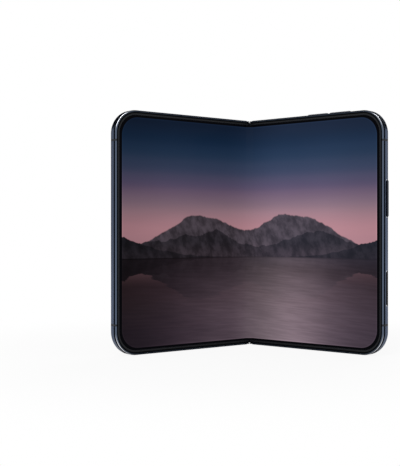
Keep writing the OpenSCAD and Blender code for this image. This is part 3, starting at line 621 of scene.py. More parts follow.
class Picture:
    """A still lake between headlands at dusk, in millimetres on the map that spans both leaves."""

    def __init__(self, sheet):
        self.sheet = sheet
        self.colours, self.sizes = bpy.context.scene.phone_picture, sizes()
        wide, self.high = self.sizes.leaf_width / MM, self.sizes.leaf_height / MM
        self.shore = self.colours.shore / MM
        panel = sheet.node("ShaderNodeUVMap", uv_map="panel").outputs[0]
        split = sheet.node("ShaderNodeSeparateXYZ", {0: panel}).outputs
        self.across = Value(sheet, split[0])
        self.x = self.across * (2 * wide) - wide
        self.z = Value(sheet, split[1]) * self.high
        self.under = self.shore - self.z
        self.seen_x, self.seen_z = self.mirrored()

    def colour(self):
        return self.framed(self.lit(self.with_water(self.land())))

    def streaks(self, x, z, first, second, *grain):
        """Noise over two directions, each given as its shares of x and z."""
        place = (x * along + z * up for along, up in (first, second))
        return self.sheet.noise(self.sheet.combine(*place), 1, *grain)

    def mirrored(self):
        """The place that the rippled water shows, and above the shore the place itself."""
        ripple = self.streaks(self.x, self.z, (0.03, 0), (0, 0.55), 3)
        wobble = (ripple - 0.5) * self.under.at_least(0.0)
        return wobble * 0.35 + self.x, wobble * 0.5 + (abs(self.under) + self.shore)

    def sky(self):
        c = self.colours
        shades = self.sheet.ramp(
            self.seen_z / self.high,
            [(0.45, c.glow), (0.53, c.glow), (0.605, c.rose), (0.683, c.mauve), (0.748, c.dusk),
             (0.812, c.slate), (0.877, c.blue), (0.95, c.night)],
            "CARDINAL",
        )
        haze = self.streaks(self.seen_x, self.seen_z, (0.012, 0), (0, 0.11), 4, 0.55)
        return self.sheet.vary(shades, haze, 0.08)

    def skyline(self, profile, rise, rough, seed, scale):
        """Height of a crest that follows a profile over the width of the picture."""
        shape = self.sheet.ramp(self.across, profile, "B_SPLINE")
        crest = self.sheet.noise(self.seen_x * scale + seed, 1, 5, 0.55, dimensions="1D")
        full = shape * rise + (crest - 0.5) * rough
        return full * shape.at_most(1.0) + self.shore

    def hills(self, below, crest, shade, soft, haze):
        """Lays a row of hills over what is behind it."""
        sheet = self.sheet
        cover = sheet.smooth(crest - self.seen_z, 0.0, soft)
        lift = sheet.smooth(self.seen_z, self.shore, self.shore + 9, haze, 0.0)
        slope = self.streaks(self.seen_x, self.seen_z, (0.20, 0.09), (-0.04, 0.13), 6, 0.62)
        slope = sheet.smooth(slope, 0.34, 0.68)
        body = sheet.vary(sheet.mix(lift, shade, self.colours.rose), slope, 0.42)
        return sheet.mix(cover, below, body)

    def land(self):
        """Sky and three rows of hills."""
        c = self.colours
        far = self.skyline([(0, 0.3), (0.1, 0.55), (0.26, 1.1), (0.42, 0.85), (0.52, 0.75),
                            (0.66, 1.15), (0.84, 0.8), (1, 0.25)], 22.5, 6.0, 3.1, 0.07)
        middle = self.skyline([(0, 0.4), (0.1, 0.75), (0.24, 0.75), (0.36, 1.0), (0.47, 0.6),
                               (0.6, 0.55), (0.74, 1.0), (0.88, 0.75), (1, 0.4)],
                              17, 7.0, 17.3, 0.085)
        near = self.skyline([(0, 1.0), (0.1, 0.75), (0.24, 0.38), (0.40, 0.12), (0.60, 0.08),
                             (0.76, 0.3), (0.9, 0.7), (1, 0.95)], 12.5, 4.0, 41.7, 0.14)
        land = self.hills(self.sky(), far, c.far_hill, 0.9, 0.16)
        land = self.hills(land, middle, self.sheet.mix(0.72, c.far_hill, c.near_hill), 0.6, 0.06)
        return self.hills(land, near, c.near_hill, 0.5, 0.03)

    def with_water(self, land):
        """Lays the lake over the mirrored land, with a slow swell and fine ripples."""
        sheet, c = self.sheet, self.colours
        tint = sheet.ramp(
            self.across,
            [(0.0, c.still_water), (0.2, c.dim_water), (0.33, c.grey_water), (0.45, c.soft_water),
             (0.57, c.pale_water), (0.68, c.bright_water), (0.81, c.dull_water),
             (1.0, c.shaded_water)],
            "CARDINAL",
        )
        swell = self.streaks(self.x, self.z, (0.010, 0.02), (0.02, 0.10), 2, 0.4)
        fine = self.streaks(self.x, self.z, (0.06, 0.05), (0.04, 0.85), 3, 0.6)
        tint = sheet.vary(tint, swell, 0.30)
        tint = sheet.vary(tint, sheet.smooth(fine, 0.35, 0.65), 0.09)
        water = sheet.mix(sheet.smooth(self.under, -2, 15, 0.48, 0.96), land, tint)
        bank = (sheet.smooth(abs(self.under), 0.0, 1.1, 0.6, 1.0)
                * sheet.smooth(self.under, 0.0, 36.0, 0.55, 1.05))
        return sheet.mix(sheet.smooth(self.under, -0.15, 0.15), land, sheet.gain(water, bank))

    def lit(self, view):
        """Paints a sheen of reflected light that brightens the sky over the main leaf, and darkens
        both sides a little.
        """
        sheet = self.sheet
        # Painted sheen over the main leaf: its colour is raised and a faint bluish veil is added
        warm = sheet.smooth(self.x, -20.0, 26.0, 1.0, 1.36)
        lift = sheet.smooth(self.x, -20.0, 26.0, 0.0, 0.006)
        sheen_veil = sheet.combine(lift, lift * 1.3, lift * 2.2)
        bright = sheet.mix(1.0, sheet.gain(view, warm), sheen_veil, "ADD")
        view = sheet.mix(sheet.smooth(self.under, -1, 8), bright, view)
        return sheet.gain(view, sheet.smooth(abs(self.x), 45.0, 80.0, 1.0, 0.87))

    def framed(self, view):
        """Cuts the picture to the lit area of the panel, which is brightest along its edge."""
        sheet, s = self.sheet, self.sizes
        insets = (s.lit_side / MM, s.lit_end / MM, s.lit_corner / MM)
        past_edge = outline_depth(abs(self.x), self.z, *insets)
        view = sheet.gain(view, sheet.smooth(past_edge, -0.75, -0.2, 1.0, 1.28))
        return sheet.mix(sheet.smooth(past_edge, -0.06, 0.06), view, self.colours.surround)


def screen_finish():
    """Clear flexible film over the lit panel."""
    sheet = Sheet("Inner screen film")
    smears = sheet.noise(sheet.stretched(60, 60, 22), 1, 3)
    return sheet.shade(
        Base_Color=(0, 0, 0),
        Roughness=smears * 0.10 + 0.08,
        Specular_IOR_Level=0.012,
        Emission_Color=Picture(sheet).colour(),
        Emission_Strength=1.0,
    )


# ---- finishes of the leaves --------------------------------------------------------------------


def key_place(h, depth, middle, length):
    """Distance past the straight part of a key on the free edge, and from its middle line."""
    s = sizes()
    return abs(h - middle / MM) - (length - s.key_width) / 2 / MM, depth - s.key_depth / MM


def control_surround(sheet, h, depth):
    """The dark inlay round the camera control, as a rounded oblong on the free edge."""
    s = sizes()
    past, across = key_place(h, depth, s.camera_control, s.camera_control_length)
    return sheet.within(hypot(past.at_least(0.0), across), s.control_inlay / MM, 0.03)


def painted_pocket_highlights(sheet, h, depth, middle, length):
    """A painted highlight on the cut edge at both round ends of a key's pocket in the free edge."""
    past, across = key_place(h, depth, middle, length)
    rim = sheet.within(hypot(past, across), sizes().key_pocket / MM, 0.03)
    return rim * sheet.within(across, -0.05, 0.15) * sheet.smooth(past, 0.3, 0.7)


def lip_colour(sheet, side, u, h, depth):
    """The cut lip: plain at the sides, painted shade above and below, a painted highlight at the
    corners.
    """
    f, s = finishes(), sizes()
    high, corner = s.leaf_height / MM, s.corner_radius / MM
    past_u = u - (s.leaf_width / MM - corner)
    past_h = abs(h - high / 2) - (high / 2 - corner)
    turn = sheet.smooth(past_u, 0.0, corner * 0.7) * sheet.smooth(past_h, 0.0, corner * 0.7)
    # Painted shade: the lip is painted at a quarter of its colour above and below, and plain along
    # the side
    unshaded_sides = sheet.smooth(past_u, 0.0, corner * 0.8)
    lip = sheet.mix(unshaded_sides, [0.25 * c for c in f.lip], f.lip)
    # Painted highlight on the lip's rounding round the corners, brighter at the lower corners
    lower, upper = PAINTED_GLINT_SHARES[side]
    painted_glint = sheet.gain(f.painted_glint, sheet.smooth(h, high * 0.45, high * 0.55, lower, upper))
    # Painted shade on the flat front of the lip at the corners, at 0.3 of its colour
    flat = sheet.within(depth, 0.03, 0.02)
    return sheet.mix(turn, lip, sheet.mix(flat, painted_glint, [0.3 * c for c in f.lip]))


def band_finish(side):
    """Anodised band with a cut lip, and painted shade over the groove behind it."""
    f, s = finishes(), sizes()
    sheet = Sheet(f"Anodised band {LEAF_NAMES[side]}")
    u, h, depth = sheet.leaf_place(side)
    satin = sheet.vary(f.band, sheet.noise(sheet.place, 1500, 3), 0.05)
    if side == MAIN:
        satin = sheet.mix(control_surround(sheet, h, depth), satin, [0.12 * c for c in f.band])
        # Painted highlight at both round ends of each key's pocket
        for middle, length in ((s.side_button, s.side_button_length),
                               (s.camera_control, s.camera_control_length)):
            satin = sheet.mix(painted_pocket_highlights(sheet, h, depth, middle, length), satin, f.pocket_highlight)
    cut = sheet.within(depth, s.lip_depth / MM, 0.03)
    # Painted shade: from the lip back to the groove's end the band is painted near black and not
    # metal
    groove_shade = sheet.within(depth, s.groove_depth / MM, 0.04)
    behind = sheet.mix(groove_shade, satin, f.groove_shade)
    return sheet.shade(
        Base_Color=sheet.mix(cut, behind, lip_colour(sheet, side, u, h, depth)),
        Metallic=1.0 - groove_shade * (1.0 - cut),
        Roughness=cut * -0.10 + sheet.uneven(0.25),
        Specular_IOR_Level=0.0,
        Normal=sheet.grain_bump(1500, 1e-6),
    )


def trim_finish(side):
    """Soft black trim, with painted shade in the seam where it meets the lip of the band."""
    f, s = finishes(), sizes()
    sheet = Sheet(f"Trim elastomer {LEAF_NAMES[side]}")
    u, h, _ = sheet.leaf_place(side)
    # Painted shade in the seam along the band's lip: near black and with less gloss
    seam_shade = sheet.smooth(outline_depth(u, h, 0.0, 0.0, s.corner_radius / MM), -1.7, -1.35)
    body = sheet.vary(f.trim, sheet.noise(sheet.place, 2500, 3), 0.15)
    return sheet.shade(
        Base_Color=sheet.mix(seam_shade, body, (0.0008, 0.0010, 0.0014)),
        Roughness=sheet.uneven(0.42),
        Specular_IOR_Level=seam_shade * -0.17 + 0.19,
        Normal=sheet.grain_bump(1500, 2e-6),
    )


def control_finish():
    """Sapphire of the camera control."""
    sheet = Sheet("Camera control crystal")
    tint = sheet.noise(sheet.stretched(400, 400, 60), 1, 2)
    return sheet.shade(
        Base_Color=sheet.vary((0.002, 0.0025, 0.005), tint, 0.12),
        Roughness=tint * 0.06 + 0.12,
        Specular_IOR_Level=0.04,
    )


def back_glass_finish(name, base, roughness, specular):
    """Frosted glass, evenly etched, with a soft sheen and faint marks from handling."""
    sheet = Sheet(name)
    broad = sheet.noise(sheet.stretched(26, 26, 14), 1, 2)
    return sheet.shade(
        Base_Color=sheet.vary(base, broad, 0.08),
        Roughness=broad * 0.12 + (roughness - 0.06),
        Specular_IOR_Level=specular,
        Normal=sheet.bump(sheet.noise(sheet.place, 9000, 2), 1.2e-6),
    )


def cover_glass_finish():
    """Black glass over the cover panel, with a faint panel edge and the small camera."""
    f, s = finishes(), sizes()
    sheet = Sheet("Cover glass")
    u, h, _ = sheet.leaf_place(COVER)
    wide, high, fold_margin = s.leaf_width / MM, s.leaf_height / MM, 4
    off_u = sheet.smooth(abs(u - (wide + fold_margin) / 2), wide / 2 - 6.2, wide / 2 - 5.9)
    off_h = sheet.smooth(abs(h - high / 2), high / 2 - 3.6, high / 2 - 3.3)
    panel = sheet.mix(off_u.at_least(off_h), [1.6 * c for c in f.cover],
                      [0.35 * c for c in f.cover])
    eye = radial(sheet, COVER, s.leaf_width / 2, s.leaf_height - 8.5 * MM)
    pupil = sheet.ramp(
        eye / 2.2,
        [(0.0, (0.002, 0.003, 0.006)), (0.28, (0.004, 0.006, 0.016)), (0.42, (0.03, 0.035, 0.05)),
         (0.5, (0.001, 0.001, 0.001)), (1.0, (0.0015, 0.0015, 0.002))],
    )
    smears = sheet.noise(sheet.stretched(55, 55, 20), 1, 3)
    return sheet.shade(
        Base_Color=sheet.mix(sheet.within(eye, 2.275, 0.075), panel, pupil),
        Roughness=smears * 0.10 + 0.03,
        Specular_IOR_Level=0.5,
    )


# ---- finishes of the cameras -------------------------------------------------------------------


def radial(sheet, side, u, h):
    """Distance in millimetres from an axis that stands on the leaf at u, h."""
    across, up, _ = sheet.leaf_place(side)
    return hypot(across - u / MM, up - h / MM)


def turned_finish(name, base, side, u, h, roughness=0.24):
    """Metal with the fine circles of a lathe round an axis, and a painted highlight where its end
    is chamfered.
    """
    s = sizes()
    sheet = Sheet(name)
    radius, depth = radial(sheet, side, u, h), sheet.leaf_place(side)[2]
    circles = sheet.noise(radius * 14.0, 1, 3, dimensions="1D")
    off_middle = abs(radius - s.ring_end / MM)
    # Painted highlight on both edges of the ring's end, at twenty times its colour
    chamfer_highlight = (sheet.smooth(off_middle, 0.40, 0.52)
               * sheet.smooth(depth, s.ring_top / MM - 0.1, s.ring_top / MM))
    return sheet.shade(
        Base_Color=sheet.mix(chamfer_highlight, sheet.vary(base, circles, 0.14), [20 * c for c in base]),
        Metallic=1.0,
        Roughness=circles * 0.14 + (roughness - 0.07),
        Normal=sheet.bump(circles, 3e-6),
    )


def barrel_finish(name, u, aperture):
    """Black lens barrel with threads, a retainer ring and a front element with a painted reflection
    of its coating and a painted glint in its middle.
    """
    sheet = Sheet(name)
    radius = radial(sheet, MAIN, u, sizes().lens_height)
    element = sheet.within(radius, aperture - 0.05, 0.1)
    # Painted reflection on the front element: a bright glint in its middle and the coloured sheen
    # of its coating in rings
    painted_reflection = sheet.ramp(
        radius / aperture,
        [(0.0, (0.30, 0.26, 0.27)), (0.16, (0.20, 0.15, 0.20)), (0.24, (0.008, 0.010, 0.022)),
         (0.55, (0.022, 0.018, 0.050)), (0.85, (0.075, 0.036, 0.110)),
         (1.0, (0.020, 0.050, 0.070))],
    )
    black = sheet.vary((0.006, 0.006, 0.007), sheet.noise(sheet.place, 3000, 2), 0.25)
    retainer = sheet.within(abs(radius - (aperture + 0.3)), 0.17, 0.03)
    black = sheet.mix(retainer, black, (0.16, 0.17, 0.19))
    return sheet.shade(
        Base_Color=sheet.mix(element, black, painted_reflection),
        Roughness=element * -0.38 + 0.45,
        Specular_IOR_Level=0.25,
        Normal=sheet.bump((radius * 26.0).math("SINE"), 3e-5, 0.5),
    )


def lens_window_finish():
    """Clear coated glass."""
    sheet = Sheet("Lens window")
    return sheet.shade(
        Base_Color=(0.002, 0.003, 0.005),
        Roughness=sheet.noise(sheet.place, 120, 2) * 0.03 + 0.02,
        Specular_IOR_Level=0.6,
        Alpha=0.28,
    )


def flash_finish():
    """Milky lens with a warm middle."""
    sheet = Sheet("Flash lens")
    radius = radial(sheet, MAIN, sizes().flash_across, sizes().flash_height)
    body = sheet.mix(sheet.smooth(radius, 0.2, 1.5), (0.62, 0.50, 0.20), (0.50, 0.50, 0.47))
    return sheet.shade(
        Base_Color=sheet.vary(body, sheet.noise(sheet.place, 2600, 2), 0.12),
        Roughness=0.22,
        Coat_Weight=0.6,
        Normal=sheet.bump((radius * 24.0).math("SINE"), 4e-5, 0.6),
    )


# ---- finishes inside ---------------------------------------------------------------------------


def board_finish():
    """Solder mask with copper runs under it."""
    sheet = Sheet("Circuit board")
    bricks = sheet.output("ShaderNodeTexBrick", {
        "Vector": sheet.stretched(900, 900, 900), "Scale": 1.0, "Mortar Size": 0.08,
        "Color1": (0.006, 0.045, 0.030), "Color2": (0.008, 0.060, 0.040),
        "Mortar": (0.09, 0.20, 0.08),
    })
    return sheet.shade(Base_Color=bricks, Roughness=0.4)


def coil_finish():
    """Flat coil of fine wire."""
    sheet = Sheet("Copper coil")
    radius = radial(sheet, MAIN, sizes().coil_across, sizes().coil_height)
    turns = (radius * 16.0).math("SINE")
    return sheet.shade(
        Base_Color=sheet.mix(turns * 0.5 + 0.5, (0.20, 0.08, 0.03), (0.80, 0.42, 0.20)),
        Metallic=1.0,
        Roughness=0.35,
        Normal=sheet.bump(turns, 4e-5, 0.5),
    )


def woven_finish():
    """Fine dark wire cloth."""
    sheet = Sheet("Acoustic cloth")
    cells = sheet.output("ShaderNodeTexVoronoi", {"Vector": sheet.place, "Scale": 7000.0})
    holes = sheet.smooth(cells, 0.25, 0.42)
    return sheet.shade(
        Base_Color=sheet.mix(holes, (0.002, 0.002, 0.002), (0.06, 0.065, 0.07)),
        Metallic=0.6,
        Roughness=0.5,
    )


def dress(material, *nodes):
    """Gives CAD nodes a finish."""
    for name in nodes:
        mesh = frame["nodes"][name].data
        mesh.materials.clear()
        mesh.materials.append(material)


# ---- the pieces --------------------------------------------------------------------------------


class PHONE_OT_inner_screen(bpy.types.Operator):
    """Builds both halves of the flexible screen with the picture, bent over the fold"""

    bl_idname = "phone.inner_screen"
    bl_label = "Inner screen"

    def execute(self, context):
        material = screen_finish()
        for side in (MAIN, COVER):
            piece = self.half(side, material)
            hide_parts(f"inner_screen_{LEAF_NAMES[side]}", "inner_screen_fold")
            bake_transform(piece)
        return {"FINISHED"}

    def columns(self, side):
        """Columns from the fold to the free edge: front and back points with u, and the low end."""
        s = sizes()
        width, corner = s.leaf_width - s.screen_inset, s.corner_radius - s.screen_inset
        depths = (s.screen_depth, s.screen_depth + s.screen_thickness)
        for i in range(BEND_STEPS + 1):
            x = s.bend_reach * i / BEND_STEPS
            yield [bend_point(side, x, 0, d, s.bend_reach) for d in depths], s.bend_end
        flat = [(6 + 2 * k) * MM for k in range(32)]
        flat = [u for u in flat if u < width - corner]
        turns = [math.pi / 2 * k / BEND_STEPS for k in range(BEND_STEPS + 1)]
        for u in flat + [width - corner + corner * math.sin(turn) for turn in turns]:
            past = max(0.0, u - (width - corner))
            rise = corner - math.sqrt(max(0.0, corner ** 2 - past ** 2))
            yield [(leaf_point(side, u, 0, d), u) for d in depths], s.screen_inset + rise

    def half(self, side, material):
        s = sizes()
        height = s.leaf_height
        mesh = bmesh.new()
        panel = mesh.loops.layers.uv.new("panel")
        grids, places = ([], []), {}
        for pair, low in self.columns(side):
            for grid, (point, u) in zip(grids, pair):
                grid.append([])
                for share in (0.0, 0.25, 0.5, 0.75, 1.0):
                    h = low + (height - 2 * low) * share
                    vertex = mesh.verts.new((point.x, point.y, h))
                    places[vertex] = (0.5 + side * u / (2 * s.leaf_width), h / height)
                    grid[-1].append(vertex)
        close_slab(mesh, *grids)
        for face in mesh.faces:
            for loop in face.loops:
                loop[panel].uv = places[loop.vert]
        piece = new_piece(f"inner_display_{LEAF_NAMES[side]}", mesh, material)
        sharpen(piece, 50)
        return piece


class PHONE_OT_fold_seals(bpy.types.Operator):
    """Builds the soft seals that join the two trims at both ends of the fold"""

    bl_idname = "phone.fold_seals"
    bl_label = "Fold seals"

    def execute(self, context):
        s = sizes()
        material = grained("Seal rubber", finishes().trim, 0.0, 0.7, 0.03, 2500, 0.2, 4e-6)
        for side in (MAIN, COVER):
            mesh = bmesh.new()
            self.bridge(mesh, side, s.seal_near, s.seal_far)
            self.bridge(mesh, side, s.leaf_height - s.seal_far, s.leaf_height - s.seal_near)
            piece = new_piece(f"fold_seal_{LEAF_NAMES[side]}", mesh, material)
            sharpen(piece, 50)
            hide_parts("fold_end_seals")
            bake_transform(piece)
        return {"FINISHED"}

    def bridge(self, mesh, side, low, high):
        s = sizes()
        top, base = [], []
        steps = 14
        for i in range(steps + 1):
            x = s.seal_end * i / steps
            sunk = s.seal_dip * (1 - ease(i / steps)) + s.seal_seat
            for grid, d in ((top, sunk), (base, sunk + s.seal_thickness)):
                point = bend_point(side, x, 0, d, s.seal_end)[0]
                grid.append([])
                for k in range(4):
                    h = low + (high - low) * k / 3
                    grid[-1].append(mesh.verts.new((point.x, point.y, h)))
        close_slab(mesh, top, base)


class PHONE_OT_metalwork(bpy.types.Operator):
    """Finishes the bands, the spine, the trims, the antenna breaks and the buttons"""

    bl_idname = "phone.metalwork"
    bl_label = "Metalwork"

    def execute(self, context):
        f = finishes()
        for side in (MAIN, COVER):
            dress(band_finish(side), LEAF_NAMES[side] + "_frame")
            dress(trim_finish(side), LEAF_NAMES[side] + "_trim")
        dress(brushed("Spine metal", f.band, (1, 1, 0.03), 0.30, 0.10), "spine_cover")
        dress(grained("Antenna plastic", f.break_line, 0.0, 0.42, 0.35),
              "main_antenna_breaks", "cover_antenna_breaks")
        dress(grained("Button metal", f.button, 1.0, 0.25, amount=0.05), "side_button")
        dress(grained("Volume button metal", f.volume, 0.5, 0.32, amount=0.05),
              "volume_up_button", "volume_down_button")
        dress(control_finish(), "camera_control")
        return {"FINISHED"}


class PHONE_OT_glass(bpy.types.Operator):
    """Finishes the back glass, the cover glass and the panel behind it"""

    bl_idname = "phone.glass"
    bl_label = "Outer glass"

    def execute(self, context):
        f = finishes()
        dress(back_glass_finish("Back glass", f.back, 0.34, 0.6), "back_glass")
        dress(back_glass_finish("Plateau glass", f.plateau, 0.22, 0.4), "camera_plateau")
        dress(cover_glass_finish(), "cover_glass")
        dress(grained("Cover panel", f.cover, 0.0, 0.2), "cover_screen")
        return {"FINISHED"}


class PHONE_OT_cameras(bpy.types.Operator):
    """Finishes the rear and front cameras and adds the rear lenses' baffles and the flash rings"""

    bl_idname = "phone.cameras"
    bl_label = "Cameras"

    def execute(self, context):
        f, s = finishes(), sizes()
        black = grained("Baffle black", (0.010, 0.010, 0.012), 0.0, 0.30, 0.4, 2500, 0.15)
        rings = ring_repeat(black)
        window = lens_window_finish()
        lenses = {"wide": (s.wide_lens, 2.6), "ultrawide": (s.wide_lens - s.lens_pitch, 2.0)}
        for name, (u, aperture) in lenses.items():
            dress(turned_finish(f"Lens ring {name}", f.ring, MAIN, u, s.lens_height),
                  name + "_lens_ring")
            dress(barrel_finish(f"Barrel {name}", u, aperture), name + "_camera")
            dress(window, name + "_lens_glass")
            values = {"Count": 5, "First radius": (aperture + 0.55) * MM, "Pitch": 0.42 * MM,
                      "Step": 0.28 * MM, "Wire": 0.11 * MM}
            place = leaf_matrix(MAIN, u, s.lens_height, s.lens_top - s.baffle_depth)
            piece = rings.grow(name + "_baffles", values, place)
            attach(piece, "main_leaf")
        flash = flash_finish()
        dress(flash, "flash_window")
        values = {"Count": 4, "First radius": 0.45 * MM, "Pitch": 0.42 * MM, "Step": 0.0,
                  "Wire": 0.05 * MM}
        place = leaf_matrix(MAIN, s.flash_across, s.flash_height, s.flash_depth)
        piece = ring_repeat(flash).grow("flash_prisms", values, place)
        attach(piece, "main_leaf")
        dress(woven_finish(), "rear_microphone")
        dress(black, "selfie_camera")
        return {"FINISHED"}


class PHONE_OT_openings(bpy.types.Operator):
    """Adds the socket's contacts and the screens behind the sound openings"""

    bl_idname = "phone.openings"
    bl_label = "Socket and sound openings"

    def execute(self, context):
        s = sizes()
        gold = grained("Contact gold", (0.80, 0.52, 0.18), 1.0, 0.25)
        place = leaf_matrix(MAIN, s.leaf_width / 2, s.tongue_height, s.opening_depth)
        piece = strip_repeat(gold).grow("socket_contacts", {"Count": 12}, place)
        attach(piece, "main_leaf")
        row = screen_repeat(woven_finish())
        low, high = s.hole_inset, s.leaf_height - s.hole_inset
        for name, side, count, u, h in (
            ("speaker_screens", MAIN, 6, s.speaker_across, low),
            ("microphone_screens", MAIN, 3, s.microphone_across, low),
            ("earpiece_screens", COVER, 6, s.speaker_across, high),
        ):
            place = leaf_matrix(side, u, h, s.opening_depth)
            piece = row.grow(name, {"Count": count}, place)
            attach(piece, LEAF_NAMES[side] + "_leaf")
        steel = brushed("Socket steel", (0.30, 0.31, 0.33), (1, 1, 0.05))
        dress(steel, "charging_port", "port_screws")
        return {"FINISHED"}


class PHONE_OT_hinge(bpy.types.Operator):
    """Finishes the hinge modules"""

    bl_idname = "phone.hinge"
    bl_label = "Hinge"

    def execute(self, context):
        f = finishes()
        dress(brushed("Hinge steel", f.steel, (1, 1, 0.05)),
              "hinge_brackets", "main_hinge_arms", "cover_hinge_arms", "main_wings", "cover_wings")
        dress(brushed("Ground steel", [1.3 * c for c in f.steel], (0.1, 0.1, 1), 0.2),
              "main_hinge_pins", "cover_hinge_pins", "idler_pins", "friction_washers",
              "main_idler_gears", "cover_idler_gears", "main_arm_screws", "cover_arm_screws")
        return {"FINISHED"}


class PHONE_OT_inside(bpy.types.Operator):
    """Finishes what lies inside the leaves"""

    bl_idname = "phone.inside"
    bl_label = "Inside"

    def execute(self, context):
        dress(grained("Battery wrap", (0.03, 0.03, 0.033), 0.0, 0.5, 0.4, 900, 0.2, 8e-6),
              "main_battery", "cover_battery")
        dress(board_finish(), "logic_board", "cover_board")
        dress(brushed("Shield plate", (0.42, 0.43, 0.45), (0.1, 1, 1), 0.32),
              "board_shields", "haptic_motor", "main_magnets", "cover_magnets")
        dress(grained("Speaker box", (0.012, 0.012, 0.014), 0.0, 0.5, 0.4, 1200, 0.15),
              "main_speaker", "cover_speaker")
        dress(coil_finish(), "charging_coil")
        dress(grained("Switch domes", (0.60, 0.42, 0.20), 1.0, 0.3), "button_switches")
        return {"FINISHED"}


# ---- the studio --------------------------------------------------------------------------------


class PHONE_OT_stage(bpy.types.Operator):
    """Lays the floor and sets the room light, the lamps and the camera"""

    bl_idname = "phone.stage"
    bl_label = "Stage"

    def execute(self, context):
        studio = context.scene.phone_studio
        self.floor()
        self.room(context, studio)
        self.lamp("key", (-0.35, -0.95, 0.95), (0.9, 0.6), studio.key_power)
        strip = self.lamp("strip", (0, -0.39, 1.04), (0.7, 0.10), studio.strip_power)
        strip.visible_diffuse = False
        self.flags()
        self.lamp("rim", (0.55, 0.95, 0.75), (0.6, 0.4), studio.rim_power)
        self.camera(context, studio)
        context.scene.view_settings.view_transform = "Standard"
        return {"FINISHED"}

    def floor(self):
        mesh = bmesh.new()
        bmesh.ops.create_circle(mesh, cap_ends=True, radius=6.0, segments=96)
        sheet = Sheet("Studio floor")
        grain = sheet.noise(sheet.place, 300, 2)
        sheet.shade(
            Base_Color=sheet.vary((0.88, 0.88, 0.88), grain, 0.01),
            Roughness=0.7,
            Specular_IOR_Level=0.1,
        )
        distance = sheet.output("ShaderNodeVectorMath", {0: sheet.place}, "Value",
                                operation="LENGTH")
        plain = sheet.smooth(distance, 0.08, 0.22, 0.90, 1.0)
        front = sheet.within(sheet.dot((0, 1, 0)), -0.028, 0.006)
        mirrored = front.at_least(sheet.smooth(distance, 0.12, 0.95, 0.03, 1.0))
        path = sheet.node("ShaderNodeLightPath").outputs
        share = (plain * path["Is Camera Ray"]).at_least(mirrored * path["Is Glossy Ray"])
        share = share.at_least(path["Is Transmission Ray"])
        glow = sheet.output("ShaderNodeEmission", {"Color": (1, 1, 1), "Strength": 1.0})
        blend = sheet.output("ShaderNodeMixShader", {0: share, 1: sheet.shader.outputs[0], 2: glow})
        sheet.feed(sheet.out.inputs[0], blend)
        floor = new_piece("floor", mesh, sheet.material, smooth=False)

    def flags(self):
        """Cards that give the metal and the glass something dark to mirror."""
        # A black ceiling over and behind the phone, and a grey wall at its left
        self.flag("flag_above", [(-0.6, -0.02, 0.36), (0.6, -0.02, 0.36)],
                  [(-0.6, 0.42, 0.24), (0.6, 0.42, 0.24)], 0.0)
        self.flag("flag_left", [(-0.7, -0.05, 0), (-0.6, 0.3, 0)],
                  [(-0.7, -0.05, 0.3), (-0.6, 0.3, 0.3)], 0.66)
        # A narrow black strip on the floor behind the lower edges, seen only in mirrors: painted
        # shade where the lower edges stand on the floor
        low = 0.05 * MM
        self.flag("flag_foot", [(-0.075, -0.035, low), (0, 0.0243, low), (0.075, -0.035, low)],
                  [(-0.0775, -0.030, low), (0, 0.0305, low), (0.0775, -0.030, low)], 0.0)
        # A dark curved wall behind, a metre away and half a metre high
        arc = [math.radians(18 + 6 * k) for k in range(25)]
        self.flag("flag_back", [(math.cos(a), math.sin(a), 0) for a in arc],
                  [(math.cos(a), math.sin(a), 0.5) for a in arc], 0.04, 1.0)

    def flag(self, name, low, high, level, ends=None):
        """A card, lighter towards its ends if asked, that only shows in mirrored light."""
        mesh = bmesh.new()
        low, high = ([mesh.verts.new(point) for point in edge] for edge in (low, high))
        for k in range(len(low) - 1):
            mesh.faces.new((low[k], low[k + 1], high[k + 1], high[k]))
        sheet = Sheet(name)
        if ends is not None:
            level = sheet.smooth(abs(sheet.dot((1, 0, 0))), 0.86, 0.97, level, ends)
        sheet.shade(Base_Color=(0, 0, 0), Specular_IOR_Level=0.0, Emission_Color=(1, 1, 1),
                    Emission_Strength=level)
        card = new_piece(name, mesh, sheet.material, smooth=False)
        card.visible_camera = card.visible_shadow = card.visible_diffuse = False

    def room(self, context, studio):
        """White to the camera and in mirrors and windows, and dimmer where it only lights."""
        world = bpy.data.worlds.new("Studio room")
        context.scene.world = world
        world.use_nodes = True
        room = Nodes(world.node_tree)
        path = room.node("ShaderNodeLightPath").outputs
        seen = room.math("MAXIMUM", path["Is Camera Ray"], path["Is Glossy Ray"])
        seen = seen.at_least(path["Is Transmission Ray"])
        level = room.output("ShaderNodeMapRange",
                            {"Value": seen, "To Min": studio.room, "To Max": 1.0})
        background = world.node_tree.nodes["Background"]
        room.feed(background.inputs["Color"], (1, 1, 1))
        room.feed(background.inputs["Strength"], level)

    def lamp(self, name, place, size, power):
        data = bpy.data.lights.new(name, "AREA")
        data.shape = "RECTANGLE"
        data.size, data.size_y = size
        data.energy = power
        lamp = bpy.data.objects.new(name, data)
        lamp.location = place
        lamp.rotation_mode = "QUATERNION"
        aim = Vector((0, 0, bpy.context.scene.phone_studio.aim_height))
        lamp.rotation_quaternion = (aim - Vector(place)).to_track_quat("-Z", "Y")
        lamp.visible_camera = False
        bpy.context.scene.collection.objects.link(lamp)
        return lamp

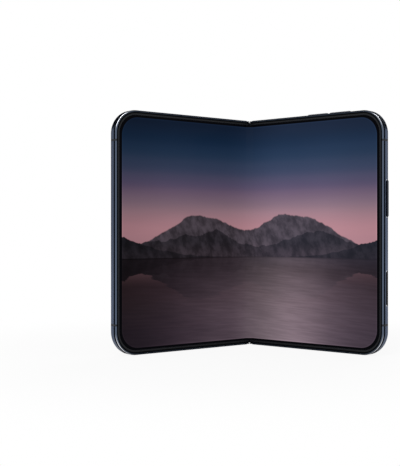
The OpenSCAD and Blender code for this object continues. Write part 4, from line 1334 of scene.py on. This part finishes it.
    def camera(self, context, studio):
        data = bpy.data.cameras.new("camera")
        data.lens = studio.lens
        data.sensor_width = 36
        data.shift_x = studio.shift
        data.clip_start = 0.01
        camera = bpy.data.objects.new("camera", data)
        camera.location = (0, -studio.distance, studio.height)
        camera.rotation_mode = "QUATERNION"
        camera.rotation_quaternion = Vector((0, 1, 0)).to_track_quat("-Z", "Y")
        context.scene.collection.objects.link(camera)
        context.scene.camera = camera


class PHONE_PT_panel(bpy.types.Panel):
    """Lists the phone's steps and values"""

    bl_idname = "PHONE_PT_panel"
    bl_label = "Foldable phone"
    bl_space_type = "VIEW_3D"
    bl_region_type = "UI"
    bl_category = "Phone"

    def draw(self, context):
        for operator in OPERATORS:
            self.layout.operator(operator.bl_idname)
        for place, group in GROUPS.items():
            box = self.layout.box()
            for name in group.__annotations__:
                box.prop(getattr(context.scene, place), name)


OPERATORS = (
    PHONE_OT_inner_screen,
    PHONE_OT_fold_seals,
    PHONE_OT_metalwork,
    PHONE_OT_glass,
    PHONE_OT_cameras,
    PHONE_OT_openings,
    PHONE_OT_hinge,
    PHONE_OT_inside,
    PHONE_OT_stage,
)
GROUPS = {
    "phone_sizes": PhoneSizes,
    "phone_picture": PhonePicture,
    "phone_finishes": PhoneFinishes,
    "phone_studio": PhoneStudio,
}


def register():
    for name, group in GROUPS.items():
        bpy.utils.register_class(group)
        setattr(bpy.types.Scene, name, PointerProperty(type=group))
    for operator in OPERATORS:
        bpy.utils.register_class(operator)
    bpy.utils.register_class(PHONE_PT_panel)


def unregister():
    bpy.utils.unregister_class(PHONE_PT_panel)
    for operator in reversed(OPERATORS):
        bpy.utils.unregister_class(operator)
    for name, group in GROUPS.items():
        delattr(bpy.types.Scene, name)
        bpy.utils.unregister_class(group)


def main():
    register()
    bpy.ops.phone.inner_screen()
    bpy.ops.phone.fold_seals()
    bpy.ops.phone.metalwork()
    bpy.ops.phone.glass()
    bpy.ops.phone.cameras()
    bpy.ops.phone.openings()
    bpy.ops.phone.hinge()
    bpy.ops.phone.inside()
    bpy.ops.phone.stage()


if __name__ == "__main__":
    main()
